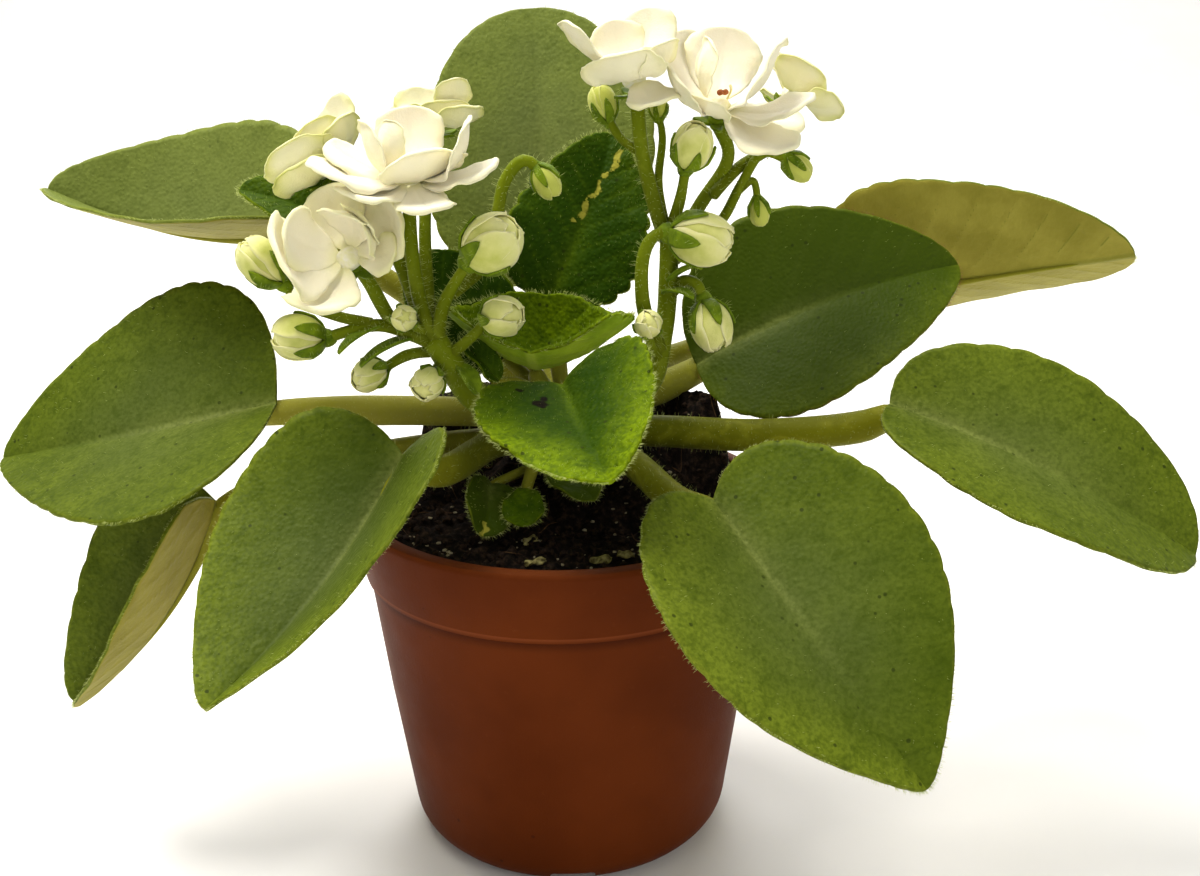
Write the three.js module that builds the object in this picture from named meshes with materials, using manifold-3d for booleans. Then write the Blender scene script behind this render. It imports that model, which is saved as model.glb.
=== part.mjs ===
// Potted African violet in a 9 cm nursery pot.
// Millimetres, +Z up. The origin is on the pot's axis, level with the foot of the pot.
// -Y is the front of the plant.

import * as THREE from 'three';
import { mergeVertices } from 'three/addons/utils/BufferGeometryUtils.js';
import Module from 'manifold-3d';

const wasm = await Module();
wasm.setup();

// Driving dimensions of the pot
const rimRadius = 45;
const potHeight = 76.5;
const footRadius = 35;
const wallThickness = 1.4;
const cornerRadius = 8;
const bandHeight = 15;
const bandStep = 0.9;
const lipWidth = 3.3;
const floorHeight = 4;
const floorThickness = 1.4;
const footWidth = 2.6;
const gatePadRadius = 7;
const notchWidth = 9.5;
const notchReach = 24;
const notchCount = 4;
const wallLean = 7;
const potSides = 28;

// Driving dimensions of the soil
const soilEdge = 72.6;
const soilRadius = 40.5;
const moundRise = 12.5;
const moundCentre = { x: 6, y: 12 };
const moundTopRadius = 9;
const moundFootRadius = 29;
const bankRise = 17.6;
const bankRadius = 33.5;
const bankWidth = 8.5;
const bankSlope = 6.5;
const bankMiddle = 82;
const bankSpread = 80;
const bankFade = 18;
const bankEndLift = 0.18;
const clodHeight = 0.66;

// Driving dimensions of the plant
const crownFoot = { x: 0, y: 5, z: 68 };
const crownHeight = 31;
const crownRadius = 7.5;
const seat = 0.3;
const leafEdge = 0.8;
const leafMiddle = 1.3;
const petalThickness = 0.65;

const degrees = Math.PI / 180;
const up = new THREE.Vector3(0, 0, 1);
const at = (p) => new THREE.Vector3(p[0], p[1], p[2]);
const mix = (a, b, t) => a + (b - a) * t;
const smooth = (t) => {
  const s = Math.min(1, Math.max(0, t));
  return s * s * (3 - 2 * s);
};

// Joining and cutting of closed bodies
function solid(geometry) {
  const bare = geometry.clone();
  bare.deleteAttribute('normal');
  bare.deleteAttribute('uv');
  const merged = mergeVertices(bare, 1e-4);
  return new wasm.Manifold(new wasm.Mesh({
    numProp: 3,
    vertProperties: new Float32Array(merged.attributes.position.array),
    triVerts: new Uint32Array(merged.index.array),
  }));
}

function body(manifold) {
  const mesh = manifold.getMesh();
  const geometry = new THREE.BufferGeometry();
  geometry.setAttribute('position', new THREE.BufferAttribute(mesh.vertProperties, 3));
  geometry.setIndex(new THREE.BufferAttribute(mesh.triVerts, 1));
  geometry.computeVertexNormals();
  return geometry;
}

const join = (solids) => solids.reduce((whole, piece) => whole.add(piece));

// Keeps the largest body, where a cut leaves a loose scrap behind
function largest(manifold) {
  const bodies = manifold.decompose();
  return bodies.reduce((best, piece) => (piece.volume() > best.volume() ? piece : best));
}

function shell(points, faces) {
  const geometry = new THREE.BufferGeometry();
  const numbers = points.flatMap((p) => [p.x, p.y, p.z]);
  geometry.setAttribute('position', new THREE.Float32BufferAttribute(numbers, 3));
  geometry.setIndex(faces);
  return geometry;
}

// A stem that tapers along a smooth line, closed at both ends
function stem(line, radii, sides = 6, steps = 6) {
  const curve = new THREE.CatmullRomCurve3(line.map((p) => (p.isVector3 ? p : at(p))));
  const frames = curve.computeFrenetFrames(steps, false);
  const points = [];
  const faces = [];
  for (let i = 0; i <= steps; i += 1) {
    const t = i / steps;
    const centre = curve.getPointAt(t);
    const place = t * (radii.length - 1);
    const low = Math.min(Math.floor(place), radii.length - 2);
    const radius = mix(radii[low], radii[low + 1], place - low);
    for (let k = 0; k < sides; k += 1) {
      const angle = (2 * Math.PI * k) / sides;
      points.push(centre.clone()
        .addScaledVector(frames.normals[i], radius * Math.cos(angle))
        .addScaledVector(frames.binormals[i], radius * Math.sin(angle)));
    }
  }
  for (let i = 0; i < steps; i += 1) {
    for (let k = 0; k < sides; k += 1) {
      const a = i * sides + k;
      const b = i * sides + ((k + 1) % sides);
      faces.push(a, b, b + sides, a, b + sides, a + sides);
    }
  }
  for (let k = 1; k < sides - 1; k += 1) {
    const end = steps * sides;
    faces.push(0, k + 1, k, end, end + k, end + k + 1);
  }
  return shell(points, faces);
}

// A leaf or petal as a thin arched sheet.
// The midrib runs from base to tip. The outline angle goes from 0 at the base to PI at the tip,
// and the reach from 0 on the midrib to 1 on the margin.
function sheetForm(form) {
  const base = at(form.base);
  const along = at(form.tip).sub(base);
  const length = along.length();
  along.normalize();
  const facing = form.facing ?? up;
  const flat = facing.clone().addScaledVector(along, -facing.dot(along)).normalize();
  const across = new THREE.Vector3().crossVectors(along, flat);
  const turn = (form.roll ?? 0) * degrees;
  const normal = flat.clone().multiplyScalar(Math.cos(turn)).addScaledVector(across, Math.sin(turn));
  const side = across.clone().multiplyScalar(Math.cos(turn)).addScaledVector(flat, -Math.sin(turn));
  const { half, lobe = 0, arch = 0, fold = [0, 0], cup = 0, point = 0, full = 0, sweep = 0 } = form;

  function place(angle, reach, hand) {
    const c = Math.cos(angle);
    const s = Math.sin(angle);
    const spine = length * (0.1 + 0.4 * (1 - c));
    const edgeX = (length * (1 - c)) / 2 - (1.3 * lobe * s * (1 + c)) / 2;
    const edgeY = half * s * (1 + full * c) * (1 - point * ((1 - c) / 2) ** 3);
    const x = mix(spine, edgeX, reach);
    const y = edgeY * reach;
    const share = Math.min(1, Math.max(0, x / length));
    const bow = 4 * share * (1 - share);
    const lean = (hand > 0 ? fold[1] : fold[0]) * degrees;
    const lift = y * Math.sin(lean) + arch * bow + cup * (y / half) ** 2;
    const bend = lean * Math.min(1, y / 3);
    return {
      point: base.clone()
        .addScaledVector(along, x)
        .addScaledVector(side, hand * y * Math.cos(lean) + sweep * bow)
        .addScaledVector(normal, lift),
      skin: normal.clone().multiplyScalar(Math.cos(bend))
        .addScaledVector(side, -hand * Math.sin(bend)),
    };
  }
  return { place, base, along, side, normal, length };
}

// Rows run from the midrib to the margin, each with its reach and its number of steps.
// Both faces have the same triangles, and teeth stand out from the margin by their depth.
function sheet(form, rows, { edge, middle, teeth = 0 }) {
  const { place } = sheetForm(form);
  const points = [];
  const index = new Map();
  const faces = [];
  function vertex(row, i, hand) {
    const [reach, steps] = rows[row];
    const angle = (Math.PI * i) / steps;
    const margin = row === rows.length - 1;
    const inside = i > 0 && i < steps;
    const tooth = margin && inside ? (teeth / form.half) * (i % 2 === 0 ? -0.5 : 0.5) : 0;
    const ends = row === 0 || !inside;
    const spot = place(angle, reach + tooth, hand);
    const key = ends ? `${row},${i},0` : `${row},${i},${hand}`;
    if (!index.has(key)) {
      if (ends) spot.skin.copy(place(Math.PI / 2, 0, 1).skin);
      const thickness = mix(middle, edge, reach) / 2;
      index.set(key, points.length);
      points.push(spot.point.clone().addScaledVector(spot.skin, thickness));
      points.push(spot.point.clone().addScaledVector(spot.skin, -thickness));
    }
    return index.get(key);
  }
  function face(a, b, c, hand) {
    const [p, q, r] = hand > 0 ? [a, c, b] : [a, b, c];
    faces.push(p, q, r, p + 1, r + 1, q + 1);
  }
  for (const hand of [1, -1]) {
    for (let row = 0; row < rows.length - 1; row += 1) {
      const inner = rows[row][1];
      const outer = rows[row + 1][1];
      let i = 0;
      let j = 0;
      while (i < inner || j < outer) {
        const a = vertex(row, i, hand);
        const b = vertex(row + 1, j, hand);
        if (j < outer && (i === inner || (j + 0.5) / outer <= (i + 0.5) / inner)) {
          j += 1;
          face(a, vertex(row + 1, j, hand), b, hand);
        } else {
          i += 1;
          face(a, vertex(row, i, hand), b, hand);
        }
      }
    }
    const last = rows.length - 1;
    for (let j = 0; j < rows[last][1]; j += 1) {
      const a = vertex(last, j, hand);
      const b = vertex(last, j + 1, hand);
      if (hand > 0) faces.push(a, b + 1, b, a, a + 1, b + 1);
      else faces.push(a, b, b + 1, a, b + 1, a + 1);
    }
  }
  return shell(points, faces);
}

// The pot: a lathed wall with a rim band, a raised floor inside a foot ring, and notches
const outerAt = (z) => mix(footRadius, rimRadius - bandStep, z / potHeight);
const innerAt = (z) => outerAt(z) - wallThickness;
const floorRadius = innerAt(cornerRadius) - 3.4;

function potBody() {
  const bandFoot = potHeight - bandHeight;
  const floorTop = floorHeight + floorThickness;
  const corner = footRadius - cornerRadius + 0.3;
  const profile = [[0, 0], [gatePadRadius, 0], [gatePadRadius + 0.5, floorHeight]];
  profile.push([corner - footWidth, floorHeight], [corner - footWidth + 0.4, 0]);
  for (let i = 0; i <= 4; i += 1) {
    const turn = (i / 4) * (90 - wallLean) * degrees;
    profile.push([
      corner + cornerRadius * Math.sin(turn),
      cornerRadius * (1 - Math.cos(turn)),
    ]);
  }
  profile.push([outerAt(bandFoot - 0.8), bandFoot - 0.8], [outerAt(bandFoot) + bandStep, bandFoot]);
  profile.push([rimRadius, potHeight - 1.2], [rimRadius - 0.9, potHeight]);
  profile.push([rimRadius - lipWidth + 0.8, potHeight], [rimRadius - lipWidth, potHeight - 1]);
  profile.push([innerAt(bandFoot + 1), bandFoot + 1], [innerAt(cornerRadius), cornerRadius + 1]);
  profile.push([floorRadius, floorTop], [0, floorTop]);
  const wall = new THREE.LatheGeometry(profile.map(([r, z]) => new THREE.Vector2(r, z)), potSides);
  wall.rotateX(Math.PI / 2);
  let pot = solid(wall);
  for (let i = 0; i < notchCount; i += 1) {
    const notch = new THREE.BoxGeometry(notchReach, notchWidth, 2 * floorHeight);
    notch.translate(footRadius - 1, 0, 0);
    notch.rotateZ((2 * Math.PI * i) / notchCount - Math.PI / 2);
    pot = pot.subtract(solid(notch));
  }
  return body(pot);
}

// The bank: the old root plug stands up round the back of the pot, a little higher at its two ends
function bankAt(x, y) {
  const turn = Math.abs(Math.atan2(y, x) / degrees - bankMiddle);
  const across = smooth((bankWidth - Math.abs(Math.hypot(x, y) - bankRadius)) / bankSlope);
  const ends = smooth((bankSpread - turn) / bankFade);
  return bankRise * (1 + (bankEndLift * turn) / bankSpread) * across * ends;
}

// The soil: a cake that fills the pot, with a mound round the crown and the bank behind it
function groundAt(x, y) {
  const away = Math.hypot(x - moundCentre.x, y - moundCentre.y);
  const fall = smooth((moundFootRadius - away) / (moundFootRadius - moundTopRadius));
  const clods = Math.sin(0.55 * x + 1.3) * Math.sin(0.62 * y + 0.4) + 0.6 * Math.sin(0.9 * x - 0.7 * y);
  const edge = smooth((soilRadius - Math.hypot(x, y)) / 5);
  const rise = Math.max(moundRise * fall, bankAt(x, y) * edge);
  return soilEdge + rise + clodHeight * clods * edge;
}

function soilBody() {
  const sides = 28;
  const floor = floorHeight + floorThickness + seat;
  const wallRows = [[floorRadius - 0.2, floor], [innerAt(cornerRadius) - seat, cornerRadius + 1.4]];
  wallRows.push([innerAt(60) - seat, 60], [rimRadius - lipWidth - seat - 0.3, soilEdge - 1]);
  const topRadii = [40, 35, 30, 25, 20, 14];
  const rings = [];
  for (const [radius, z] of wallRows) rings.push({ radius, height: () => z });
  for (const radius of topRadii) rings.push({ radius, height: groundAt });
  const points = [];
  for (const { radius, height } of rings) {
    for (let k = 0; k < sides; k += 1) {
      const angle = (2 * Math.PI * k) / sides;
      const x = radius * Math.cos(angle);
      const y = radius * Math.sin(angle);
      points.push(new THREE.Vector3(x, y, height(x, y)));
    }
  }
  const faces = [];
  for (let ring = 0; ring < rings.length - 1; ring += 1) {
    for (let k = 0; k < sides; k += 1) {
      const a = ring * sides + k;
      const b = ring * sides + ((k + 1) % sides);
      faces.push(a, b, b + sides, a, b + sides, a + sides);
    }
  }
  const bottom = points.push(new THREE.Vector3(0, 0, floor)) - 1;
  const top = points.push(new THREE.Vector3(0, 0, groundAt(0, 0))) - 1;
  const lastRing = (rings.length - 1) * sides;
  for (let k = 0; k < sides; k += 1) {
    const next = (k + 1) % sides;
    faces.push(bottom, next, k, top, lastRing + k, lastRing + next);
  }
  const hole = new THREE.CylinderGeometry(crownRadius + seat, crownRadius + seat, 40, 12);
  hole.rotateX(Math.PI / 2);
  hole.translate(crownFoot.x, crownFoot.y, crownFoot.z - seat + 20);
  return body(solid(shell(points, faces)).subtract(solid(hole)));
}

// The crown: the short stem that every leaf and stalk grows from
function crownForm(grow) {
  const r = crownRadius + grow;
  const h = crownHeight + grow;
  const profile = [[0, -grow], [r * 0.9, -grow], [r, 2], [r, h * 0.7], [r * 0.72, h * 0.92], [0, h]];
  const stub = new THREE.LatheGeometry(profile.map(([x, z]) => new THREE.Vector2(x, z)), 12);
  stub.rotateX(Math.PI / 2);
  stub.translate(crownFoot.x, crownFoot.y, crownFoot.z);
  return solid(stub);
}
const crownClear = crownForm(seat);

// Leaves, each with its stalk. Angles in degrees, lengths in millimetres.
const leafRows = [[0, 4], [0.5, 8], [1, 22]];
const youngRows = [[0, 2], [0.5, 5], [1, 14]];
const shootRows = [[0, 2], [1, 8]];
const smallRows = [[0, 1], [1, 5]];
const leaves = {
  leaf_rear_left: {
    base: [-53.5, 20, 131], tip: [-115.7, 40.4, 137], roll: -41, half: 25, lobe: 3, arch: -7,
    fold: [57, 25], cup: 1, point: 0.2, full: 0.3, sweep: -1.7,
    stalk: [[-2, 8, 91.5], [-17, 19, 102], [-37, 21, 118]], thick: 2.6, colour: 0x4a6a26,
  },
  leaf_rear: {
    base: [-6, 36, 114], tip: [-5.5, 56, 174.5], roll: -11, half: 27, lobe: 4, arch: 2,
    fold: [9, 10], sweep: 3,
    stalk: [[0, 8, 90], [-1.5, 21, 96.5]], thick: 2.6, colour: 0x47682a,
  },
  leaf_rear_right: {
    base: [70, 46, 107.5], tip: [126, 17, 122], roll: -41, half: 26.5, lobe: 9, arch: 1.5,
    fold: [12, 15], cup: 4, full: 0.3, sweep: -2,
    stalk: [[2, 9, 95], [24, 26, 98.5], [50, 40, 102]], thick: 2.6, colour: 0x7a8434,
  },
  leaf_mid_right: {
    base: [30, 17.5, 99], tip: [88, 20.5, 119.7], roll: 50, half: 24.5, lobe: 3, arch: 4,
    fold: [14, 14], point: 0.3, full: 0.19, sweep: -1.3,
    stalk: [[4, 7, 91], [13, 12, 92.5], [22, 17, 94]], thick: 3.6, colour: 0x44641f,
  },
  leaf_right: {
    base: [66.5, -12, 98], tip: [126, -27, 69.5], roll: 27, half: 24, lobe: 6.5, arch: 3.4,
    fold: [16, 16], cup: 0.5, point: 0.12, sweep: 0.8,
    stalk: [[5, 4, 88], [18, 3, 88.5], [42, -2, 88.6], [62, -8, 92]], thick: 3.5, colour: 0x4c6c26,
  },
  leaf_front_right: {
    base: [28, -35.5, 87], tip: [61, -73.5, 47.5], roll: 19, half: 31, lobe: 14, arch: 1.6,
    fold: [24, 20], cup: 1, point: 0.75, full: -0.32, sweep: 1,
    stalk: [[4, 0, 88], [13.5, -12, 87], [22, -28, 84]], thick: 3.1, colour: 0x4c6e26,
  },
  leaf_front_left: {
    base: [-31, -25.5, 94], tip: [-62.5, -65, 62], roll: 3, half: 28.5, lobe: 11, arch: -6,
    fold: [30, 29], point: 0.62, sweep: 2,
    stalk: [[-4, 1, 88], [-13.5, -1, 88], [-24, -20, 88.5]], thick: 3.2, colour: 0x486a24,
  },
  leaf_left: {
    base: [-59.5, -2, 98], tip: [-123.5, 13.5, 82], roll: -38, half: 31, lobe: 4, arch: 1.2,
    fold: [21, 21], cup: -1, point: 0.4, full: 0.31, sweep: -2,
    stalk: [[-5, 6, 91], [-23, 8, 92.2], [-45, 6, 93.5]], thick: 3.3, colour: 0x486828,
  },
  leaf_low_left: {
    base: [-74.2, -2.6, 77], tip: [-106, -9.5, 33], roll: -37, half: 21, lobe: 6, arch: -2.3,
    fold: [66, 39], point: 0.15, full: 0.26, sweep: -4,
    stalk: [[-5, 8, 86], [-22, 9, 85], [-46, 4, 83]], thick: 2.7, colour: 0x44622a,
  },
  leaf_small_left: {
    base: [-36, 4, 131], tip: [-63.5, 1, 141.5], roll: -30, half: 11, lobe: 3, arch: 1,
    fold: [15, 15], point: 0.2, full: 0.2, rows: youngRows,
    stalk: [[-3, 9.5, 96.5], [-14, 17, 107], [-29.5, 18, 122]], thick: 1.7, colour: 0x5a7e2c,
  },
  leaf_upright: {
    base: [-2.5, 17, 114.5], tip: [12, 28, 148.5], roll: 44, half: 15.5, lobe: 3, arch: 2,
    fold: [11, 9], point: 0.3, full: 0.13, sweep: 1.5, rows: youngRows,
    stalk: [[0, 8, 96], [-1, 13, 104]], thick: 2.1, colour: 0x44701a,
  },
  leaf_cup: {
    base: [-6.3, -7.4, 109.5], tip: [-3, 11, 117], roll: 4, half: 20, lobe: 3, arch: -10.5,
    fold: [20, 22], cup: 7, full: 0.2, rows: youngRows,
    stalk: [[-1, 3, 96], [-3, -1.5, 98.5]], meets: 0.3, thick: 2.3, colour: 0x4e7a1c,
  },
  leaf_folded: {
    base: [-13, -3.2, 102.1], tip: [-20.5, -4.4, 112.2], roll: -50, half: 3.8, arch: -0.5,
    fold: [35, 35], rows: smallRows,
    stalk: [[-4.5, 2.5, 97.3], [-9, 0.5, 100.4]], thick: 1.2, colour: 0x4e6a24,
  },
  leaf_inner_left: {
    base: [-12.3, 9.6, 104], tip: [-30.8, 11.4, 125], roll: -65, half: 11.3, lobe: 2, arch: 1,
    fold: [8, 8], full: 0.1, rows: shootRows,
    stalk: [[-4.5, 6, 97], [-8.5, 8.3, 100.4]], thick: 1.5, colour: 0x44702a,
  },
  leaf_heart: {
    base: [0, -20, 106], tip: [8, -54, 98], roll: 18, half: 18, lobe: 9, arch: 0,
    fold: [16, 14], point: 0.26, full: 0.16, sweep: 0.6, rows: youngRows,
    stalk: [[1.5, 1, 94.5], [1, -7, 98.5], [0, -14, 102]], thick: 2.3, colour: 0x5a8a1c,
  },
  shoot_left: {
    base: [-15, -11, 82.5], tip: [-16.5, -25, 76.5], roll: -30, half: 6, lobe: 1, arch: 1,
    fold: [20, 20], rows: shootRows,
    stalk: [[-3, 1, 82.5], [-9, -5, 82.6]], thick: 1.1, colour: 0x3a5420,
  },
  shoot_middle: {
    base: [-8, -14, 82.5], tip: [-8.5, -25, 78.5], roll: 0, half: 4, lobe: 0, arch: 0.5,
    full: -0.3, rows: shootRows,
    stalk: [[-2, 1, 85], [-6, -6, 84.5]], thick: 1.4, colour: 0x5f8422,
  },
  shoot_right: {
    base: [-1, -8, 84.5], tip: [6, -21, 82], roll: 20, half: 5, lobe: 1, arch: 1,
    fold: [15, 15], rows: shootRows,
    stalk: [[0, 1, 86], [-1, -5, 85.5]], thick: 1.1, colour: 0x35501c,
  },
};

function leafBody(leaf) {
  const { base, along, side, normal, length } = sheetForm(leaf);
  const young = leaf.rows !== undefined;
  const blade = sheet(leaf, leaf.rows ?? leafRows, {
    edge: leafEdge,
    middle: young ? 1 : leafMiddle,
    teeth: young ? 0.5 : 0.8,
  });
  const under = (share, depth) => {
    const bow = 4 * share * (1 - share);
    return base.clone()
      .addScaledVector(along, share * length)
      .addScaledVector(side, (leaf.sweep ?? 0) * bow)
      .addScaledVector(normal, (leaf.arch ?? 0) * bow - depth);
  };
  const thick = leaf.thick;
  // The stalk meets the blade near its base, and goes on under it as the rib
  const meets = leaf.meets ?? 0.03;
  const line = [...leaf.stalk.map(at), under(meets, thick * 0.75)];
  line.push(under(mix(meets, 0.5, 0.45), 0.9), under(mix(0.5, 1, meets), 0.3));
  const radii = [0.75, 1, 0.95, 0.75].map((share) => share * thick);
  const stalk = stem(line, [...radii, 0.5], young ? 5 : 6, young ? 5 : 7);
  return largest(join([solid(blade), solid(stalk)]).subtract(crownClear));
}

// Flowers: petals round a small heart, which they grow from, each petal a thin cupped sheet.
// Petals from the wide half up have more steps round their margin.
const heartRadius = 2.6;
const heartDepth = 2.2;
const outerRows = [[0, 1], [0.65, 2], [1, 4]];
const innerRows = [[0, 1], [1, 3]];
const wideHalf = 5.6;
const petalSeat = 0.72;
const petalFullness = -0.38;
const petalCurl = 0.6;

function faceFrame(facing) {
  const face = at(facing).normalize();
  const right = new THREE.Vector3().crossVectors(up, face);
  if (right.length() < 0.2) right.set(1, 0, 0);
  right.addScaledVector(face, -right.dot(face)).normalize();
  return { face, right, rise: new THREE.Vector3().crossVectors(face, right) };
}

// A petal leaves the heart's side at its own way, and the ones that stand up start higher on it
function petal(middle, { face }, tip, half, cup) {
  const way = tip.clone().sub(middle).normalize();
  const lean = way.dot(face);
  const out = way.clone().addScaledVector(face, -lean).normalize();
  const start = middle.clone()
    .addScaledVector(out, petalSeat * heartRadius)
    .addScaledVector(face, lean * petalSeat * heartDepth * 0.5);
  const form = {
    base: start.toArray(),
    tip: tip.toArray(),
    facing: face,
    half,
    full: petalFullness,
    arch: -cup,
    cup: cup * petalCurl,
  };
  const rows = half < wideHalf ? innerRows : outerRows;
  return solid(sheet(form, rows, { edge: petalThickness, middle: petalThickness * 1.3 }));
}

// A ball with few sides, stretched along a way
function pip(centre, way, radius, length, sides = 8) {
  const ball = new THREE.SphereGeometry(1, sides, Math.max(4, sides - 3));
  ball.scale(radius, length, radius);
  ball.applyQuaternion(new THREE.Quaternion().setFromUnitVectors(new THREE.Vector3(0, 1, 0), way));
  ball.translate(centre.x, centre.y, centre.z);
  return ball;
}

// Each petal has its tip, half its width and how deeply it is cupped.
const blooms = {
  bloom_left_1: {
    centre: [-28, -12, 144.5], facing: [0, -0.25, 0.97],
    petals: [
      { tip: [-16.5, -16.5, 156.5], half: 7, cup: 3.5 },
      { tip: [-24.5, -20.5, 151.5], half: 8, cup: 2 },
      { tip: [-34.5, -18.5, 156.5], half: 6, cup: 3 },
      { tip: [-30, -17.5, 156.5], half: 3.5, cup: 4 },
      { tip: [-28.5, -3.5, 158], half: 6, cup: 2 },
      { tip: [-43.5, -12, 152], half: 5.5, cup: 1 },
      { tip: [-45, -22, 149.5], half: 6.5, cup: 1 },
      { tip: [-38.5, -24.5, 144.5], half: 6, cup: 1.5 },
      { tip: [-23, -27.5, 141.5], half: 5, cup: 1 },
      { tip: [-11.5, -18, 148.5], half: 6, cup: 1.5 },
    ],
  },
  bloom_left_2: {
    centre: [-40.5, -13, 130], facing: [-0.3, -0.75, 0.55],
    petals: [
      { tip: [-42, -19, 139.5], half: 5, cup: 3.5 },
      { tip: [-38.5, -17.5, 139.5], half: 5, cup: 3 },
      { tip: [-37, -19, 137], half: 4.5, cup: 3 },
      { tip: [-45, -9.5, 143.5], half: 5.5, cup: 1.5 },
      { tip: [-39.5, -8, 142], half: 6, cup: 1.5 },
      { tip: [-30.5, -17, 140], half: 6.5, cup: 3 },
      { tip: [-31, -18, 132.5], half: 4, cup: 1 },
      { tip: [-50.5, -21.5, 137.5], half: 5.5, cup: 2 },
      { tip: [-52, -24, 135], half: 8.5, cup: 3.5 },
      { tip: [-47.5, -25.5, 123.5], half: 7, cup: 2.5 },
    ],
  },
  bloom_left_3: {
    centre: [-47, 1.5, 145.5], facing: [-0.5, 0.05, 0.87],
    petals: [
      { tip: [-45.5, 10.5, 159], half: 6, cup: 2.5 },
      { tip: [-41.5, -3, 156.5], half: 6, cup: 2 },
      { tip: [-47.5, -5, 155.5], half: 5, cup: 2.5 },
      { tip: [-52, -8, 152], half: 7, cup: 4.5 },
      { tip: [-51, -9.5, 147.5], half: 6.5, cup: 3.5 },
      { tip: [-52, 9.5, 151.5], half: 5, cup: 2.5 },
    ],
  },
  bloom_left_4: {
    centre: [-24.5, 11, 154], facing: [0.1, -0.1, 0.99],
    petals: [
      { tip: [-20, 6, 162.5], half: 4, cup: 1.5 },
      { tip: [-28.5, 19, 160], half: 5.5, cup: 2 },
      { tip: [-33, 17.5, 156.5], half: 5, cup: 1.5 },
      { tip: [-18, 3.5, 157.5], half: 5.5, cup: 3 },
      { tip: [-26.5, 4.5, 157.5], half: 3.5, cup: 2.5 },
      { tip: [-21.5, 4, 158.5], half: 5, cup: 2.5 },
    ],
  },
  bloom_right_1: {
    centre: [15.5, 3, 162], facing: [-0.2, -0.15, 0.97],
    petals: [
      { tip: [2, -4, 173.5], half: 5, cup: 1.5 },
      { tip: [11.5, 10, 173], half: 5, cup: 2 },
      { tip: [19, 10.5, 175.5], half: 6, cup: 2 },
      { tip: [12, -7.5, 167.5], half: 7.5, cup: 2.5 },
      { tip: [16.5, -3, 168], half: 3, cup: 2.5 },
      { tip: [21, -5.5, 169.5], half: 5, cup: 2 },
      { tip: [20.5, -8, 158.5], half: 5, cup: 2 },
    ],
  },
  bloom_right_2: {
    centre: [32.5, 3, 156], facing: [0.15, -0.45, 0.88],
    petals: [
      { tip: [25.5, 12, 171], half: 6, cup: 2.5 },
      { tip: [35, 12, 171.5], half: 7, cup: 2 },
      { tip: [30.5, -4.5, 169], half: 5, cup: 2.5 },
      { tip: [42, -7.5, 169], half: 8, cup: 2.5 },
      { tip: [23, -6, 163.5], half: 5, cup: 3 },
      { tip: [29.5, -5.5, 158.5], half: 4.5, cup: 2 },
      { tip: [49, -8, 158.5], half: 5.5, cup: 2 },
      { tip: [50.5, 7, 153.5], half: 5, cup: 1.5 },
      { tip: [45.5, -9, 149.5], half: 6, cup: 2 },
    ],
  },
  bloom_right_3: {
    centre: [49, 14, 157], facing: [0.6, 0.25, 0.75],
    petals: [
      { tip: [51, 6.5, 164.5], half: 5.5, cup: 1.5 },
      { tip: [58, 7, 156.5], half: 5, cup: 1.5 },
      { tip: [49, 22, 164.5], half: 5, cup: 1.5 },
      { tip: [47, 23.5, 155], half: 4.5, cup: 1 },
    ],
  },
};

function bloomBody({ centre, facing, petals }) {
  const frame = faceFrame(facing);
  const middle = at(centre);
  const parts = [solid(pip(middle, frame.face, heartRadius, heartDepth, 6))];
  for (const { tip, half, cup } of petals) parts.push(petal(middle, frame, at(tip), half, cup));
  return largest(join(parts));
}

// Anthers: a pair of rounded yellow sacs that stand just clear of the heart of an open flower.
// Each rise is how far the pair stands up from the middle of its flower, between the inner petals.
const antherRadius = 1.1;
const antherRises = { bloom_left_1: 3.45, bloom_right_1: 3.45, bloom_right_2: 3.45 };

function antherBody(name) {
  const { centre, facing } = blooms[name];
  const { face, right } = faceFrame(facing);
  const middle = at(centre).addScaledVector(face, antherRises[name]);
  const sacs = [-0.64, 0.64].map((hand) => solid(
    pip(middle.clone().addScaledVector(right, hand * antherRadius), right, antherRadius, antherRadius, 6),
  ));
  return join(sacs);
}

// How wide a bud is where its sepals leave it, as a share of its radius
const budWaist = 0.78;

// Buds: where each sits, which way it points, its radius and its length
const buds = {
  bud_left_1: { centre: [-58.4, -8, 128.7], way: [-0.5, -0.1, 0.6], radius: 4, length: 5 },
  bud_left_2: { centre: [-52.2, -10, 113.9], way: [-0.9, -0.2, 0.1], radius: 4.2, length: 4.8 },
  bud_left_3: { centre: [-12.7, -14, 132.7], way: [0.6, -0.3, 0.5], radius: 5.2, length: 5.8 },
  bud_left_4: { centre: [-11.3, -14, 118.3], way: [0.4, -0.4, 0.1], radius: 3.7, length: 4.3 },
  bud_left_5: { centre: [-39, -8, 105.2], way: [-0.4, -0.4, -0.1], radius: 3, length: 3.5 },
  bud_left_6: { centre: [-26.8, -13, 104.6], way: [-0.1, -0.6, -0.1], radius: 3, length: 3.4 },
  bud_left_7: { centre: [-30.4, -15, 118.5], way: [0.1, -0.7, 0.2], radius: 2.3, length: 2.7 },
  bud_right_1: { centre: [26.9, -1, 149], way: [0.2, -0.3, 0.8], radius: 3.8, length: 4.4 },
  bud_right_2: { centre: [28.8, -3, 130.8], way: [0.8, -0.3, -0.1], radius: 5, length: 6 },
  bud_right_3: { centre: [17.8, -5, 113.9], way: [0, -0.5, 0.3], radius: 2.6, length: 3 },
  bud_right_4: { centre: [30.9, -3, 112.8], way: [0.2, -0.3, -0.7], radius: 4, length: 4.8 },
};

// Rings of ten points round a head's axis, each ring with its radius and height, between two poles
const headSides = 10;

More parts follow.
